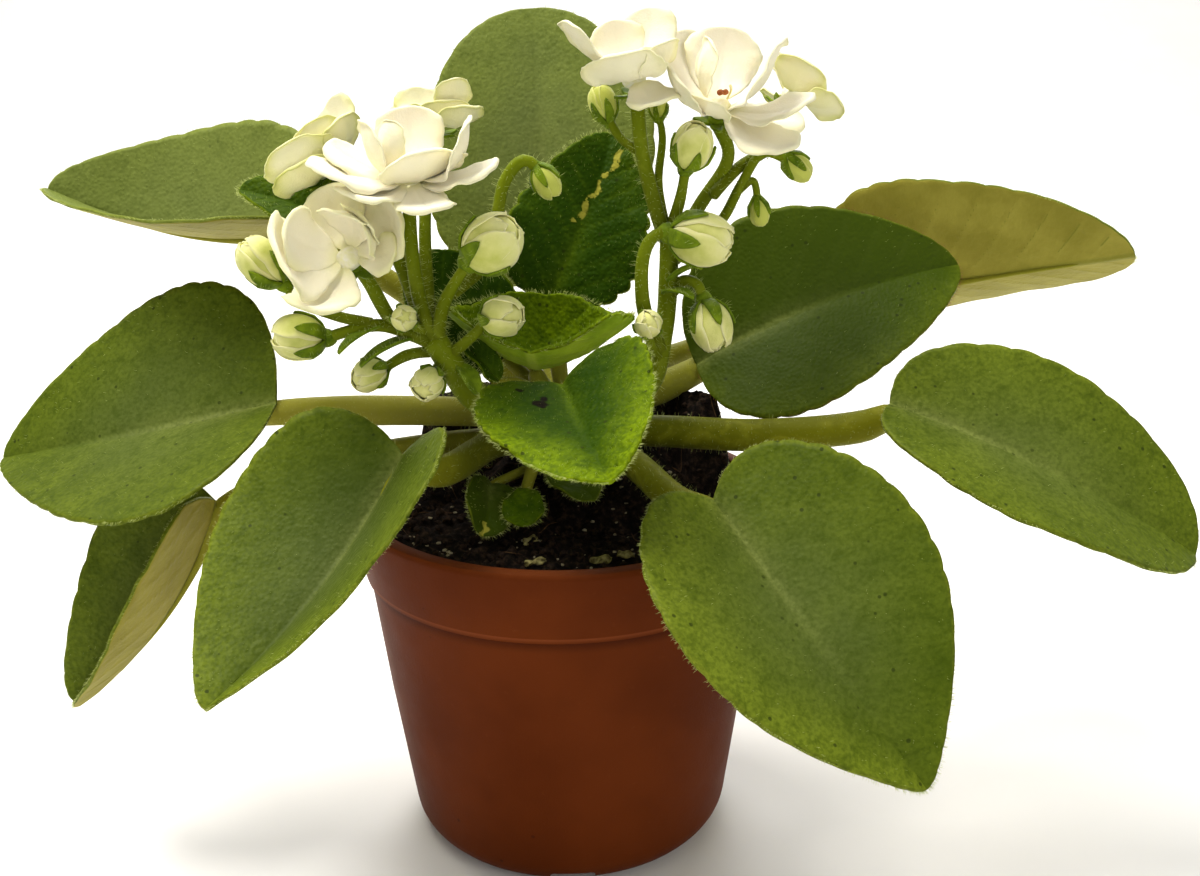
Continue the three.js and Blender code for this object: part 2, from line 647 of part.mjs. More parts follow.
function ringPoint(middle, frame, k, radius, height) {
  const a = (2 * Math.PI * k) / headSides;
  return middle.clone()
    .addScaledVector(frame.right, radius * Math.cos(a))
    .addScaledVector(frame.rise, radius * Math.sin(a))
    .addScaledVector(frame.face, height);
}

function budBody({ centre, way, radius, length }) {
  const frame = faceFrame(way);
  const middle = at(centre);
  const rings = [[budWaist * radius, -0.6 * length], [radius, -0.05 * length], [0.72 * radius, 0.6 * length]];
  const points = rings.flatMap(([r, h]) => (
    Array.from({ length: headSides }, (_, k) => ringPoint(middle, frame, k, r, h))
  ));
  const faces = [];
  const foot = points.push(middle.clone().addScaledVector(frame.face, -length)) - 1;
  const top = points.push(middle.clone().addScaledVector(frame.face, length)) - 1;
  const last = (rings.length - 1) * headSides;
  for (let k = 0; k < headSides; k += 1) {
    const next = (k + 1) % headSides;
    faces.push(foot, next, k, top, last + k, last + next);
    for (let ring = 0; ring < last; ring += headSides) {
      const a = ring + k;
      const b = ring + next;
      faces.push(a, b, b + headSides, a, b + headSides, a + headSides);
    }
  }
  return solid(shell(points, faces));
}

// How thick the foot of a calyx is
const footDepth = 0.9;

// A flower or bud on its stalk: its middle, the way it faces, and where its stalk ends behind it
function headOf(name) {
  const bloom = blooms[name];
  const head = bloom ?? buds[name];
  const face = at(bloom ? head.facing : head.way).normalize();
  const middle = at(head.centre);
  const depth = (bloom ? heartDepth : head.length) + seat + 0.6 * footDepth;
  return { head, bloom, face, middle, foot: middle.clone().addScaledVector(face, -depth) };
}

// The calyx: five green sepals in one star-shaped cup, which hugs a bud or spreads behind a flower.
// Valley, knee and tip each give radius and height, on the outside and on the inside.

function starCup(middle, frame, { foot, valley, knee, tip }) {
  const points = [0, 1].map((skin) => middle.clone().addScaledVector(frame.face, foot[skin]));
  const faces = [];
  const ring = [];
  for (let k = 0; k < headSides; k += 1) {
    const shape = k % 2 === 0 ? valley : knee;
    ring.push(points.length);
    for (const [radius, height] of shape) points.push(ringPoint(middle, frame, k, radius, height));
  }
  for (let k = 0; k < headSides; k += 2) {
    const [v, n, w] = [ring[k], ring[k + 1], ring[(k + 2) % headSides]];
    const t = points.length;
    for (const [radius, height] of tip) points.push(ringPoint(middle, frame, k + 1, radius, height));
    const outside = [[0, n, v], [0, w, n], [v, n, t], [n, w, t]];
    for (const [a, b, c] of outside) faces.push(a, b, c, a + 1, c + 1, b + 1);
    faces.push(v, t, t + 1, v, t + 1, v + 1, t, w, w + 1, t, w + 1, t + 1);
  }
  return solid(shell(points, faces));
}

function calyx(name) {
  const { head, bloom, middle } = headOf(name);
  const frame = faceFrame(bloom ? head.facing : head.way);
  if (bloom) {
    const back = -heartDepth - seat - footDepth;
    return starCup(middle, frame, {
      foot: [back, back + footDepth],
      valley: [[1.5, back], [1.5, back + 0.8]],
      knee: [[2.2, back], [2.2, back + 0.8]],
      tip: [[5, back + 0.5], [5, back + 1]],
    });
  }
  const { radius: r, length: h } = head;
  const inside = seat + 0.1;
  const outside = inside + 0.8;
  return starCup(middle, frame, {
    foot: [-h - seat - footDepth, -h - seat],
    valley: [[budWaist * r + outside, -0.6 * h], [budWaist * r + inside, -0.6 * h]],
    knee: [[budWaist * r + outside, -0.6 * h], [budWaist * r + inside, -0.6 * h]],
    tip: [[r + 1.1, 0.15 * h], [r + 0.6, 0.15 * h]],
  });
}

// Stalks: each stem is a line of points, with the radius at its two ends and the head it carries
const stalks = {
  flower_stalk_left: {
    stems: [
      {
        line: [[-2, 2, 92], [-9, -1, 94.5], [-17, -5, 98.6], [-26, -9, 113.5]],
        radii: [2.6, 3.2, 2.5],
        sides: 6,
      },
      { line: [[-25, -8.5, 111], [-28, -9.5, 122], [-29, -8.5, 137]], radii: [1.5, 1.3], to: 'bloom_left_1' },
      { line: [[-26, -9, 112], [-33, -9, 116], [-37.5, -8.4, 124]], radii: [1.5, 1.3], to: 'bloom_left_2' },
      { line: [[-27, -8, 112], [-33, -5, 130], [-41, -1, 140]], radii: [1.4, 1.1], to: 'bloom_left_3' },
      { line: [[-26, -8, 112], [-27, 0, 132], [-26, 6, 146]], radii: [1.4, 1.1], to: 'bloom_left_4' },
      { line: [[-37, -9.2, 116], [-45, -9, 118], [-52, -7.5, 121]], radii: [1.2, 1], to: 'bud_left_1' },
      { line: [[-28, -9, 113], [-36, -9.3, 115.8], [-43, -9, 114.5]], radii: [1.4, 1.1], to: 'bud_left_2' },
      { line: [[-25, -8, 110], [-23, -11, 120], [-19.5, -12, 126]], radii: [1.5, 1.1], to: 'bud_left_3' },
      { line: [[-24, -8, 108], [-19, -9, 112], [-15.6, -10, 115.6]], radii: [1.3, 1], to: 'bud_left_4' },
      { line: [[-25, -8, 110], [-31, -7, 109]], radii: [1.3, 1], to: 'bud_left_5' },
      { line: [[-23, -7, 108], [-25, -7.4, 106.4]], radii: [1.3, 1], to: 'bud_left_6' },
      { line: [[-26, -8, 113], [-28.6, -10, 115.5]], radii: [1.2, 0.9], to: 'bud_left_7' },
      {
        line: [
          [-22.5, -10, 121], [-14, -6, 128], [-12, -4, 137],
          [-10.4, -3, 143], [-6.5, -3, 147], [-2.6, -3, 144],
        ],
        radii: [1.3, 1.4, 2],
        steps: 7,
      },
    ],
    bracts: [
      { base: [-21, -8, 107], tip: [-17, -13, 102], half: 2.2 },
      { base: [-29, -9, 113], tip: [-40, -12, 108], half: 2.4 },
      { base: [-35, -9.2, 115.8], tip: [-44, -13, 111], half: 2 },
    ],
    colour: 0x6c7a24,
  },
  flower_stalk_right: {
    stems: [
      {
        line: [[3, 5, 93], [9, 3, 95.5], [18, 2, 98.5], [21.5, 3, 110], [22.4, 2, 122], [22.5, 2, 133]],
        radii: [2.4, 2.3, 2, 1.8],
        sides: 6,
        steps: 7,
      },
      { line: [[22, 2, 129], [19.6, 2, 137], [17, 3, 148]], radii: [1.6, 1.4], to: 'bloom_right_1' },
      { line: [[22.6, 2.5, 126], [29, 5.5, 136], [35, 6.5, 146]], radii: [1.5, 1.3], to: 'bloom_right_2' },
      { line: [[31, 3.4, 138], [38, 8, 144], [44, 10.6, 147]], radii: [1.3, 1], to: 'bloom_right_3' },
      { line: [[22.5, 2, 131], [24.6, 1, 138]], radii: [1.3, 1], to: 'bud_right_1' },
      {
        line: [[21, 2, 106], [17, -1.5, 117], [17.2, -2, 128], [19.4, -1.6, 131.4]],
        radii: [1.7, 1.2],
        to: 'bud_right_2',
      },
      { line: [[21, 2, 104], [18.8, 0, 108]], radii: [1.2, 0.9], to: 'bud_right_3' },
      { line: [[22.3, 2, 118], [25.5, 1, 121.5], [28, -0.4, 121]], radii: [1.4, 1], to: 'bud_right_4' },
      { line: [[22, 2.5, 131], [20.5, 4, 141], [21.5, 7, 150], [20.9, 8, 154]], radii: [1.2, 1.1, 1.5, 0.8] },
      {
        line: [[22.8, 2.5, 125], [33.5, 6.5, 132.5], [37.5, 6, 140], [42, 6.5, 146.5], [48, 8, 144.5]],
        radii: [1.4, 1.1, 2, 0.9],
      },
      { line: [[37, 6, 139], [40, 6, 141], [41.3, 6, 136]], radii: [0.9, 0.8, 1.4] },
      { line: [[17.5, 3, 147], [13, 4.5, 150], [9.6, 6, 155.4]], radii: [1, 0.9, 1.8] },
    ],
    bracts: [
      { base: [22, 1, 121], tip: [30, -4, 126], half: 1.8 },
      { base: [21, 1, 119], tip: [27, -5, 119], half: 1.6 },
    ],
    colour: 0x5f7420,
  },
};

function stalkBody({ stems, bracts }) {
  const parts = [];
  for (const { line, radii, to, sides = 4, steps = 4 } of stems) {
    const ends = to ? [...line, headOf(to).foot] : line;
    parts.push(solid(stem(ends, radii, sides, steps)));
    if (to) parts.push(calyx(to));
  }
  for (const { base, tip, half } of bracts) {
    const bract = { base, tip, half, arch: 0.6, fold: [15, 15] };
    parts.push(solid(sheet(bract, [[0, 1], [1, 4]], { edge: 0.7, middle: 0.9 })));
  }
  return largest(join(parts).subtract(crownClear));
}

// The whole plant in its pot
const plant = new THREE.Group();

function add(name, geometry, colour, roughness) {
  const material = new THREE.MeshStandardMaterial({ color: colour, roughness, metalness: 0 });
  const mesh = new THREE.Mesh(geometry, material);
  mesh.name = name;
  plant.add(mesh);
}

add('pot', potBody(), 0x5c2a14, 0.5);
add('soil', soilBody(), 0x0e0c0b, 0.95);
add('crown', body(crownForm(0)), 0x6a7326, 0.6);
for (const [name, leaf] of Object.entries(leaves)) add(name, body(leafBody(leaf)), leaf.colour, 0.6);
for (const [name, stalk] of Object.entries(stalks)) add(name, body(stalkBody(stalk)), stalk.colour, 0.65);
for (const [name, bloom] of Object.entries(blooms)) add(name, body(bloomBody(bloom)), 0xede6dc, 0.55);
for (const name of Object.keys(antherRises)) {
  add(name.replace('bloom', 'anthers'), body(antherBody(name)), 0xb9772f, 0.7);
}
for (const [name, bud] of Object.entries(buds)) add(name, body(budBody(bud)), 0xc9cc85, 0.6);

export default plant;
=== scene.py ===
# A potted African violet, dressed over its solid model. Metres, +Z up, the front of the plant at -Y.
import math
import random
from contextlib import contextmanager

import bpy
import numpy as np
from mathutils import Matrix, Vector, noise


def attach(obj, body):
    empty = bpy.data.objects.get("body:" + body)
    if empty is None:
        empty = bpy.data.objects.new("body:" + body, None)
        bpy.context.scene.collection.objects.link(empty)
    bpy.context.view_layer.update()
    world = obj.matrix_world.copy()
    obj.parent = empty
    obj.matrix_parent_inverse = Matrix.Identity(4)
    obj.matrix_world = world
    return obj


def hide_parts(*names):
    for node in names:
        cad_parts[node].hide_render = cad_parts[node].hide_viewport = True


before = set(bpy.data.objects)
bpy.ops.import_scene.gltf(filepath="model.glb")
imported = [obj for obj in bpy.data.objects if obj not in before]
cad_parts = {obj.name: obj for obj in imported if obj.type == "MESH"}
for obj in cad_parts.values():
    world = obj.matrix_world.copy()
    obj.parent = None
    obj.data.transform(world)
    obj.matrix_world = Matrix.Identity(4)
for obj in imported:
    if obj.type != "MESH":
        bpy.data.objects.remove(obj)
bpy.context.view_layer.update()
MM = 0.001
MERGED = 2e-6
PLANT = bpy.context.scene.collection


# Small tools of the workshop
def select(*objects):
    """Selects these objects alone, the first as the active one."""
    bpy.ops.object.select_all(action="DESELECT")
    for obj in objects:
        obj.select_set(True)
    if objects:
        bpy.context.view_layer.objects.active = objects[0]


@contextmanager
def editing(obj):
    """Opens a piece in edit mode with all of it selected, and closes it again."""
    select(obj)
    bpy.ops.object.mode_set(mode="EDIT")
    bpy.ops.mesh.select_all(action="SELECT")
    yield
    bpy.ops.object.mode_set(mode="OBJECT")


def modify(obj, kind, **settings):
    """Adds a modifier with its settings and applies it."""
    select(obj)
    modifier = obj.modifiers.new(kind.title(), kind)
    for key, value in settings.items():
        setattr(modifier, key, value)
    bpy.ops.object.modifier_apply(modifier=modifier.name)


def smooth(obj):
    select(obj)
    bpy.ops.object.shade_smooth()


def shaped(name, along, across, place, skins, wall=0, thin=1.0, up=None):
    """A grid whose corners are moved to place(u, v), with u and v arrays from 0 to 1.

    With a wall it is a sheet of that thickness, times thin where the attribute edge is 1. Its second skin
    is its back, and its face looks up when up is given. Without one it is a closed body."""
    select()
    bpy.ops.mesh.primitive_grid_add(x_subdivisions=along, y_subdivisions=across, size=1)
    obj = bpy.context.object
    obj.name = obj.data.name = name
    flat = np.empty(len(obj.data.vertices) * 3)
    obj.data.vertices.foreach_get("co", flat)
    points, facts = place(flat[::3] + 0.5, flat[1::3] + 0.5)
    obj.data.vertices.foreach_set("co", (points * MM).ravel())
    for key, values in facts.items():
        single = values.ndim == 1
        layer = obj.data.attributes.new(key, "FLOAT" if single else "FLOAT_VECTOR", "POINT")
        layer.data.foreach_set("value" if single else "vector", values.ravel())
    with editing(obj):
        bpy.ops.mesh.remove_doubles(threshold=MERGED)
        if not wall:
            bpy.ops.mesh.normals_make_consistent(inside=False)
    if up is not None:
        normals = np.empty(len(obj.data.polygons) * 3)
        obj.data.polygons.foreach_get("normal", normals)
        if normals.reshape(-1, 3).mean(0).dot(up) < 0:
            with editing(obj):
                bpy.ops.mesh.flip_normals()
    for skin in skins:
        obj.data.materials.append(skin)
    if wall:
        if "edge" in facts:
            group = obj.vertex_groups.new(name="body")
            for i, item in enumerate(obj.data.attributes["edge"].data):
                group.add([i], 1 - item.value, "REPLACE")
        modify(obj, "SOLIDIFY", thickness=wall * MM, offset=0, material_offset=len(skins) - 1,
               vertex_group="body" if "edge" in facts else "", thickness_vertex_group=thin,
               use_even_offset=False)
    smooth(obj)
    return obj


def plain_mesh(name, points, faces, skin):
    """An object from points in millimetres and faces."""
    mesh = bpy.data.meshes.new(name)
    mesh.from_pydata((points * MM).tolist(), [], faces)
    mesh.materials.append(skin)
    obj = bpy.data.objects.new(name, mesh)
    PLANT.objects.link(obj)
    return obj


def joined(name, objects):
    """Several objects made one, under a plain name."""
    select(*objects)
    if len(objects) > 1:
        bpy.ops.object.join()
    objects[0].name = objects[0].data.name = name
    return objects[0]


def finished(obj, slot, *nodes):
    """Sets a piece to ride on the plant, in place of its solid nodes, which are hidden. Its slot is not used.
    """
    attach(obj, "root")
    if nodes:
        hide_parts(*nodes)


# Lines and sheets that the pieces are shaped along
def unit(v):
    return v / np.linalg.norm(v, axis=-1, keepdims=True)


def spline(line, count):
    """Evenly spaced points on a smooth curve through a line, and where along it the line's own points are."""
    steps = 24  # fine points from one point of the line to the next
    p = np.array(line, float)
    p = np.vstack([2 * p[0] - p[1], p, 2 * p[-1] - p[-2]])
    fine = []
    for i in range(1, len(p) - 2):
        gaps = [np.linalg.norm(p[i + k] - p[i + k - 1]) ** 0.5 for k in range(3)]
        m = []
        for k in (0, 1):
            a, b, c = p[i + k - 1:i + k + 2]
            g, h = gaps[k:k + 2]
            m.append(((b - a) / g - (c - a) / (g + h) + (c - b) / h) * gaps[1])
        t = np.linspace(0, 1, steps, endpoint=False)[:, None]
        a, b = p[i], p[i + 1]
        fine.append(a + m[0] * t + (-3 * a + 3 * b - 2 * m[0] - m[1]) * t ** 2
                    + (2 * a - 2 * b + m[0] + m[1]) * t ** 3)
    fine = np.vstack(fine + [p[-2:-1]])
    run = np.concatenate([[0], np.cumsum(np.linalg.norm(np.diff(fine, axis=0), axis=1))])
    even = np.linspace(0, run[-1], count)
    return np.stack([np.interp(even, run, fine[:, k]) for k in range(3)], 1), run[::steps] / run[-1]


class Tube:
    """A stem along a smooth line. Its radii are spread evenly, or stand at the line's own points."""

    def __init__(self, line, radii, count=40, own=False):
        self.points, stops = spline(line, count)
        stops = stops if own else np.linspace(0, 1, len(radii))
        self.radius = np.interp(np.linspace(0, 1, count), stops, radii)
        way = unit(np.gradient(self.points, axis=0))
        rights = [unit(np.cross(way[0], [0.3, 0.5, 0.8]))]
        for k in range(1, count):
            rights.append(unit(rights[-1] - way[k] * np.dot(rights[-1], way[k])))
        self.right = np.array(rights)
        self.rise = np.cross(way, self.right)
        self.length = np.linalg.norm(np.diff(self.points, axis=0), axis=1).sum()

    def at(self, t, turn, grow=1.0):
        """Surface points and outward ways at t along and turn round, as arrays."""
        place = t * (len(self.points) - 1)
        low = np.clip(place.astype(int), 0, len(self.points) - 2)
        f = (place - low)[:, None]
        middle, right, rise, radius = [rows[low] * (1 - f) + rows[low + 1] * f for rows in
                                       (self.points, self.right, self.rise, self.radius[:, None])]
        out = unit(right * np.cos(turn)[:, None] + rise * np.sin(turn)[:, None])
        return middle + out * radius * np.reshape(grow, (-1, 1)), out


def stem(name, tube, sides, steps, skin, lumps=0.04, seed=1, pale=0.0):
    """A closed stem with faint swellings, rounded at both ends. Attribute run goes 0 to 1 along it."""
    def place(u, v):
        turn = 2 * math.pi * v
        close = np.sqrt(np.clip(np.minimum(u, 1 - u) * steps, 0, 1))
        grow = close * (1 + lumps * np.sin(9 * u + seed) * np.cos(2 * turn + 3 * u + seed))
        return tube.at(np.clip(u, 0, 1), turn, grow)[0], {"run": u, "pale": np.full(len(u), float(pale))}
    return shaped(name, steps, sides, place, [skin])


class Blade:
    """A leaf or petal as an arched sheet, in millimetres. Angle 0 is its base and pi its tip."""

    def __init__(self, base, tip, half, roll=0, lobe=0, arch=0, fold=(0, 0), cup=0, point=0, full=0,
                 sweep=0, facing=(0, 0, 1)):
        self.base = np.array(base, float)
        along = np.array(tip, float) - self.base
        self.length = np.linalg.norm(along)
        self.along = along / self.length
        facing = np.array(facing, float)
        flat = unit(facing - self.along * facing.dot(self.along))
        across = np.cross(self.along, flat)
        turn = math.radians(roll)
        self.normal = flat * math.cos(turn) + across * math.sin(turn)
        self.side = across * math.cos(turn) - flat * math.sin(turn)
        self.half, self.lobe, self.arch, self.fold = half, lobe, arch, fold
        self.cup, self.point, self.full, self.sweep = cup, point, full, sweep

    def at(self, angle, reach, hand, lift=0.0):
        """Points, the ways that the surface faces, and flat places, for arrays of angle, reach and hand."""
        c, s = np.cos(angle), np.sin(angle)
        spine = self.length * (0.1 + 0.4 * (1 - c))
        edge_x = self.length * (1 - c) / 2 - 1.3 * self.lobe * s * (1 + c) / 2
        edge_y = self.half * s * (1 + self.full * c) * (1 - self.point * ((1 - c) / 2) ** 3)
        x = spine + (edge_x - spine) * reach
        y = edge_y * reach
        share = np.clip(x / self.length, 0, 1)
        bow = 4 * share * (1 - share)
        lean = np.radians(np.where(hand > 0, self.fold[1], self.fold[0]))
        rise = y * np.sin(lean) + self.arch * bow + self.cup * (y / self.half) ** 2
        bend = lean * np.minimum(1, y / 3)
        out = hand * y * np.cos(lean) + self.sweep * bow
        skin = np.cos(bend)[:, None] * self.normal - (hand * np.sin(bend))[:, None] * self.side
        points = self.base + x[:, None] * self.along + out[:, None] * self.side + rise[:, None] * self.normal
        return points + skin * np.broadcast_to(lift, x.shape)[:, None], skin, x, hand * y

    def under(self, share, depth):
        """The point depth below the midrib, at a share of its length."""
        bow = 4 * share * (1 - share)
        return (self.base + self.along * share * self.length + self.side * self.sweep * bow
                + self.normal * (self.arch * bow - depth))


def signed(v):
    """Reach and hand from the cross place v of a grid."""
    across = 2 * v - 1
    return np.abs(across), np.where(across >= 0, 1.0, -1.0)




# The plant, in millimetres and degrees
# A leaf has its blade's form as Blade takes it, with half of its width, then its stalk from the crown and
# how thick that is. tone, rise and side colour its face, rise darkening the base partly as painted shade of
# its fold;
# painted_sheen and middle_sheen paint a sheen of light on it, and pale its stalk. young goes up to 1, and rot
# and scar are its marks. Its teeth have their own pitch and depth.
FORM = "base tip half roll lobe arch fold cup point full sweep".split()
LEAVES = {
    "rear_left": dict(base=(-53.5, 20, 131), tip=(-115.7, 40.4, 137), half=25, roll=-41, lobe=3, arch=-7,
        fold=(57, 25), cup=1, point=.2, full=.3, sweep=-1.7,
        stalk=[(-2, 8, 91.5), (-17, 19, 102), (-37, 21, 118)], thick=2.6, tone=.75, painted_sheen=.24),
    "rear": dict(base=(-6, 36, 114), tip=(-5.5, 56, 174.5), half=27, roll=-11, lobe=4, arch=2, fold=(9, 10),
        sweep=3, stalk=[(0, 8, 90), (-1.5, 21, 96.5)], thick=2.6, tone=.6, painted_sheen=.2),
    "rear_right": dict(base=(70, 46, 107.5), tip=(126, 17, 122), half=26.5, roll=-41, lobe=9, arch=1.5,
        fold=(12, 15), cup=4, full=.3, sweep=-2, stalk=[(2, 9, 95), (24, 26, 98.5), (50, 40, 102)],
        thick=2.6, tone=.5, painted_sheen=.12),
    "mid_right": dict(base=(30, 17.5, 99), tip=(88, 20.5, 119.7), half=24.5, roll=50, lobe=3, arch=4,
        fold=(14, 14), point=.3, full=.19, sweep=-1.3, stalk=[(4, 7, 91), (13, 12, 92.5), (22, 17, 94)],
        thick=3.6, tone=0, middle_sheen=.02, side=.4),
    "right": dict(base=(66.5, -12, 98), tip=(126, -27, 69.5), half=24, roll=27, lobe=6.5, arch=3.4,
        fold=(16, 16), cup=.5, point=.12, sweep=.8,
        stalk=[(5, 4, 88), (18, 3, 88.5), (42, -2, 88.6), (62, -8, 92)], thick=3.5, tone=.6, pale=0),
    "front_right": dict(base=(28, -35.5, 87), tip=(61, -73.5, 47.5), half=31, roll=19, lobe=14, arch=1.6,
        fold=(24, 20), cup=1, point=.75, full=-.32, sweep=1,
        stalk=[(4, 0, 88), (13.5, -12, 87), (22, -28, 84)], thick=3.1, tone=.4, side=.8, pale=0),
    "front_left": dict(base=(-31, -25.5, 94), tip=(-62.5, -65, 62), half=28.5, roll=3, lobe=11, arch=-6,
        fold=(30, 29), point=.62, sweep=2, stalk=[(-4, 1, 88), (-13.5, -1, 88), (-24, -20, 88.5)],
        thick=3.2, tone=.32, rise=.85, pale=.05),
    "left": dict(base=(-59.5, -2, 98), tip=(-123.5, 13.5, 82), half=31, roll=-38, lobe=4, arch=1.2,
        fold=(21, 21), cup=-1, point=.4, full=.31, sweep=-2,
        stalk=[(-5, 6, 91), (-23, 8, 92.2), (-45, 6, 93.5)], thick=3.3, tone=.5, pale=.6),
    "low_left": dict(base=(-74.2, -2.6, 77), tip=(-106, -9.5, 33), half=21, roll=-37, lobe=6, arch=-2.3,
        fold=(66, 39), point=.15, full=.26, sweep=-4, stalk=[(-5, 8, 86), (-22, 9, 85), (-46, 4, 83)],
        thick=2.7, tone=.6),
    "small_left": dict(base=(-36, 4, 131), tip=(-63.5, 1, 141.5), half=11, roll=-30, lobe=3, arch=1,
        fold=(15, 15), point=.2, full=.2, stalk=[(-3, 9.5, 96.5), (-14, 17, 107), (-29.5, 18, 122)],
        thick=1.7, tone=.3, young=.35),
    "upright": dict(base=(-2.5, 17, 114.5), tip=(12, 28, 148.5), half=15.5, roll=44, lobe=3, arch=2,
        fold=(11, 9), point=.3, full=.13, sweep=1.5, stalk=[(0, 8, 96), (-1, 13, 104)], thick=2.1, tone=0,
        young=.6, rise=.35, pitch=.95, depth=1.5,
        scar=[(.45, .5, .7, .86, .93), (-2.2, -1.5, .6, 2.7, 3.4)]),
    "cup": dict(base=(-6.3, -7.4, 109.5), tip=(-3, 11, 117), half=20, roll=4, lobe=3, arch=-10.5,
        fold=(9, 11), cup=10.8, full=.2, stalk=[(-1, 3, 96), (-3, -1.5, 98.5)], meets=.3, thick=2.3,
        tone=.7, young=.8, pitch=.9),
    "folded": dict(base=(-13, -3.2, 102.1), tip=(-20.5, -4.4, 112.2), half=3.8, roll=-50, arch=-.5,
        fold=(35, 35), stalk=[(-4.5, 2.5, 97.3), (-9, .5, 100.4)], thick=1.2, tone=.1, young=.4,
        slot="leaf"),
    "inner_left": dict(base=(-12.3, 9.6, 104), tip=(-30.8, 11.4, 125), half=11.3, roll=-65, lobe=2, arch=1,
        fold=(8, 8), full=.1, stalk=[(-4.5, 6, 97), (-8.5, 8.3, 100.4)], thick=1.5, tone=-.1, young=.4,
        slot="leaf"),
    "heart": dict(base=(0, -20, 106), tip=(8, -54, 98), half=18, roll=18, lobe=9, fold=(16, 14), point=.26,
        full=.16, sweep=.6, stalk=[(1.5, 1, 94.5), (1, -7, 98.5), (0, -14, 102)], thick=2.3, tone=.2,
        young=1, rise=1.6, pitch=.8, depth=.9,
        rot=[(.03, 8.7, .7, 1), (.19, 6, .85, 1.3), (.16, 4.4, .7, 1), (.22, 4.9, .6, 1.6)]),
}
SHOOTS = {
    "left": dict(base=(-15, -11, 82.5), tip=(-16.5, -25, 76.5), half=6, roll=-30, lobe=1, arch=1,
        fold=(20, 20), stalk=[(-3, 1, 82.5), (-9, -5, 82.6)], thick=1.1, tone=0, young=.2,
        scar=[(.8, 1.01), (0, 0)]),
    "middle": dict(base=(-8, -14, 82.5), tip=(-8.5, -25, 78.5), half=4, arch=.5, full=-.3,
        stalk=[(-2, 1, 85), (-6, -6, 84.5)], thick=1.4, tone=.42, young=1),
    "right": dict(base=(-1, -8, 84.5), tip=(6, -21, 82), half=5, roll=20, lobe=1, arch=1, fold=(15, 15),
        stalk=[(0, 1, 86), (-1, -5, 85.5)], thick=1.1, tone=0, young=.2),
}
# A petal has its tip, half of its width and its hollow.
BLOOMS = {
    "left_1": dict(centre=(-28, -12, 144.5), facing=(0, -.25, .97), green=.42,
        petals=[((-16.5, -16.5, 156.5), 7, 3.5), ((-24.5, -20.5, 151.5), 8, 2),
        ((-34.5, -18.5, 156.5), 6, 3), ((-30, -17.5, 156.5), 3.5, 4), ((-28.5, -3.5, 158), 6, 2),
        ((-43.5, -12, 152), 5.5, 1), ((-45, -22, 149.5), 6.5, 1), ((-38.5, -24.5, 144.5), 6, 1.5),
        ((-23, -27.5, 141.5), 5, 1), ((-11.5, -18, 148.5), 6, 1.5)]),
    "left_2": dict(centre=(-40.5, -13, 130), facing=(-.3, -.75, .55), green=.75,
        petals=[((-42, -19, 139.5), 5, 3.5), ((-38.5, -17.5, 139.5), 5, 3), ((-37, -19, 137), 4.5, 3),
        ((-45, -9.5, 143.5), 5.5, 1.5), ((-39.5, -8, 142), 6, 1.5), ((-30.5, -17, 140), 6.5, 3),
        ((-31, -18, 132.5), 4, 1), ((-50.5, -21.5, 137.5), 5.5, 2), ((-52, -24, 135), 8.5, 3.5),
        ((-47.5, -25.5, 123.5), 7, 2.5)]),
    "left_3": dict(centre=(-47, 1.5, 145.5), facing=(-.5, .05, .87), green=1,
        petals=[((-45.5, 10.5, 159), 6, 2.5), ((-41.5, -3, 156.5), 6, 2), ((-47.5, -5, 155.5), 5, 2.5),
        ((-52, -8, 152), 7, 4.5), ((-51, -9.5, 147.5), 6.5, 3.5), ((-52, 9.5, 151.5), 5, 2.5)]),
    "left_4": dict(centre=(-24.5, 11, 154), facing=(.1, -.1, .99), green=1,
        petals=[((-20, 6, 162.5), 4, 1.5), ((-28.5, 19, 160), 5.5, 2), ((-33, 17.5, 156.5), 5, 1.5),
        ((-18, 3.5, 157.5), 5.5, 3), ((-26.5, 4.5, 157.5), 3.5, 2.5), ((-21.5, 4, 158.5), 5, 2.5)]),
    "right_1": dict(centre=(15.5, 3, 162), facing=(-.2, -.15, .97), green=.5,
        petals=[((2, -4, 173.5), 5, 1.5), ((11.5, 10, 173), 5, 2), ((19, 10.5, 175.5), 6, 2),
        ((12, -7.5, 167.5), 7.5, 2.5), ((16.5, -3, 168), 3, 2.5), ((21, -5.5, 169.5), 5, 2),
        ((20.5, -8, 158.5), 5, 2)]),
    "right_2": dict(centre=(32.5, 3, 156), facing=(.15, -.45, .88), green=.4,
        petals=[((25.5, 12, 171), 6, 2.5), ((35, 12, 171.5), 7, 2), ((30.5, -4.5, 169), 5, 2.5),
        ((42, -7.5, 169), 8, 2.5), ((23, -6, 163.5), 5, 3), ((29.5, -5.5, 158.5), 4.5, 2),
        ((49, -8, 158.5), 5.5, 2), ((50.5, 7, 153.5), 5, 1.5), ((45.5, -9, 149.5), 6, 2)]),
    "right_3": dict(centre=(49, 14, 157), facing=(.6, .25, .75), green=.9,
        petals=[((51, 6.5, 164.5), 5.5, 1.5), ((58, 7, 156.5), 5, 1.5), ((49, 22, 164.5), 5, 1.5),
        ((47, 23.5, 155), 4.5, 1)]),
}
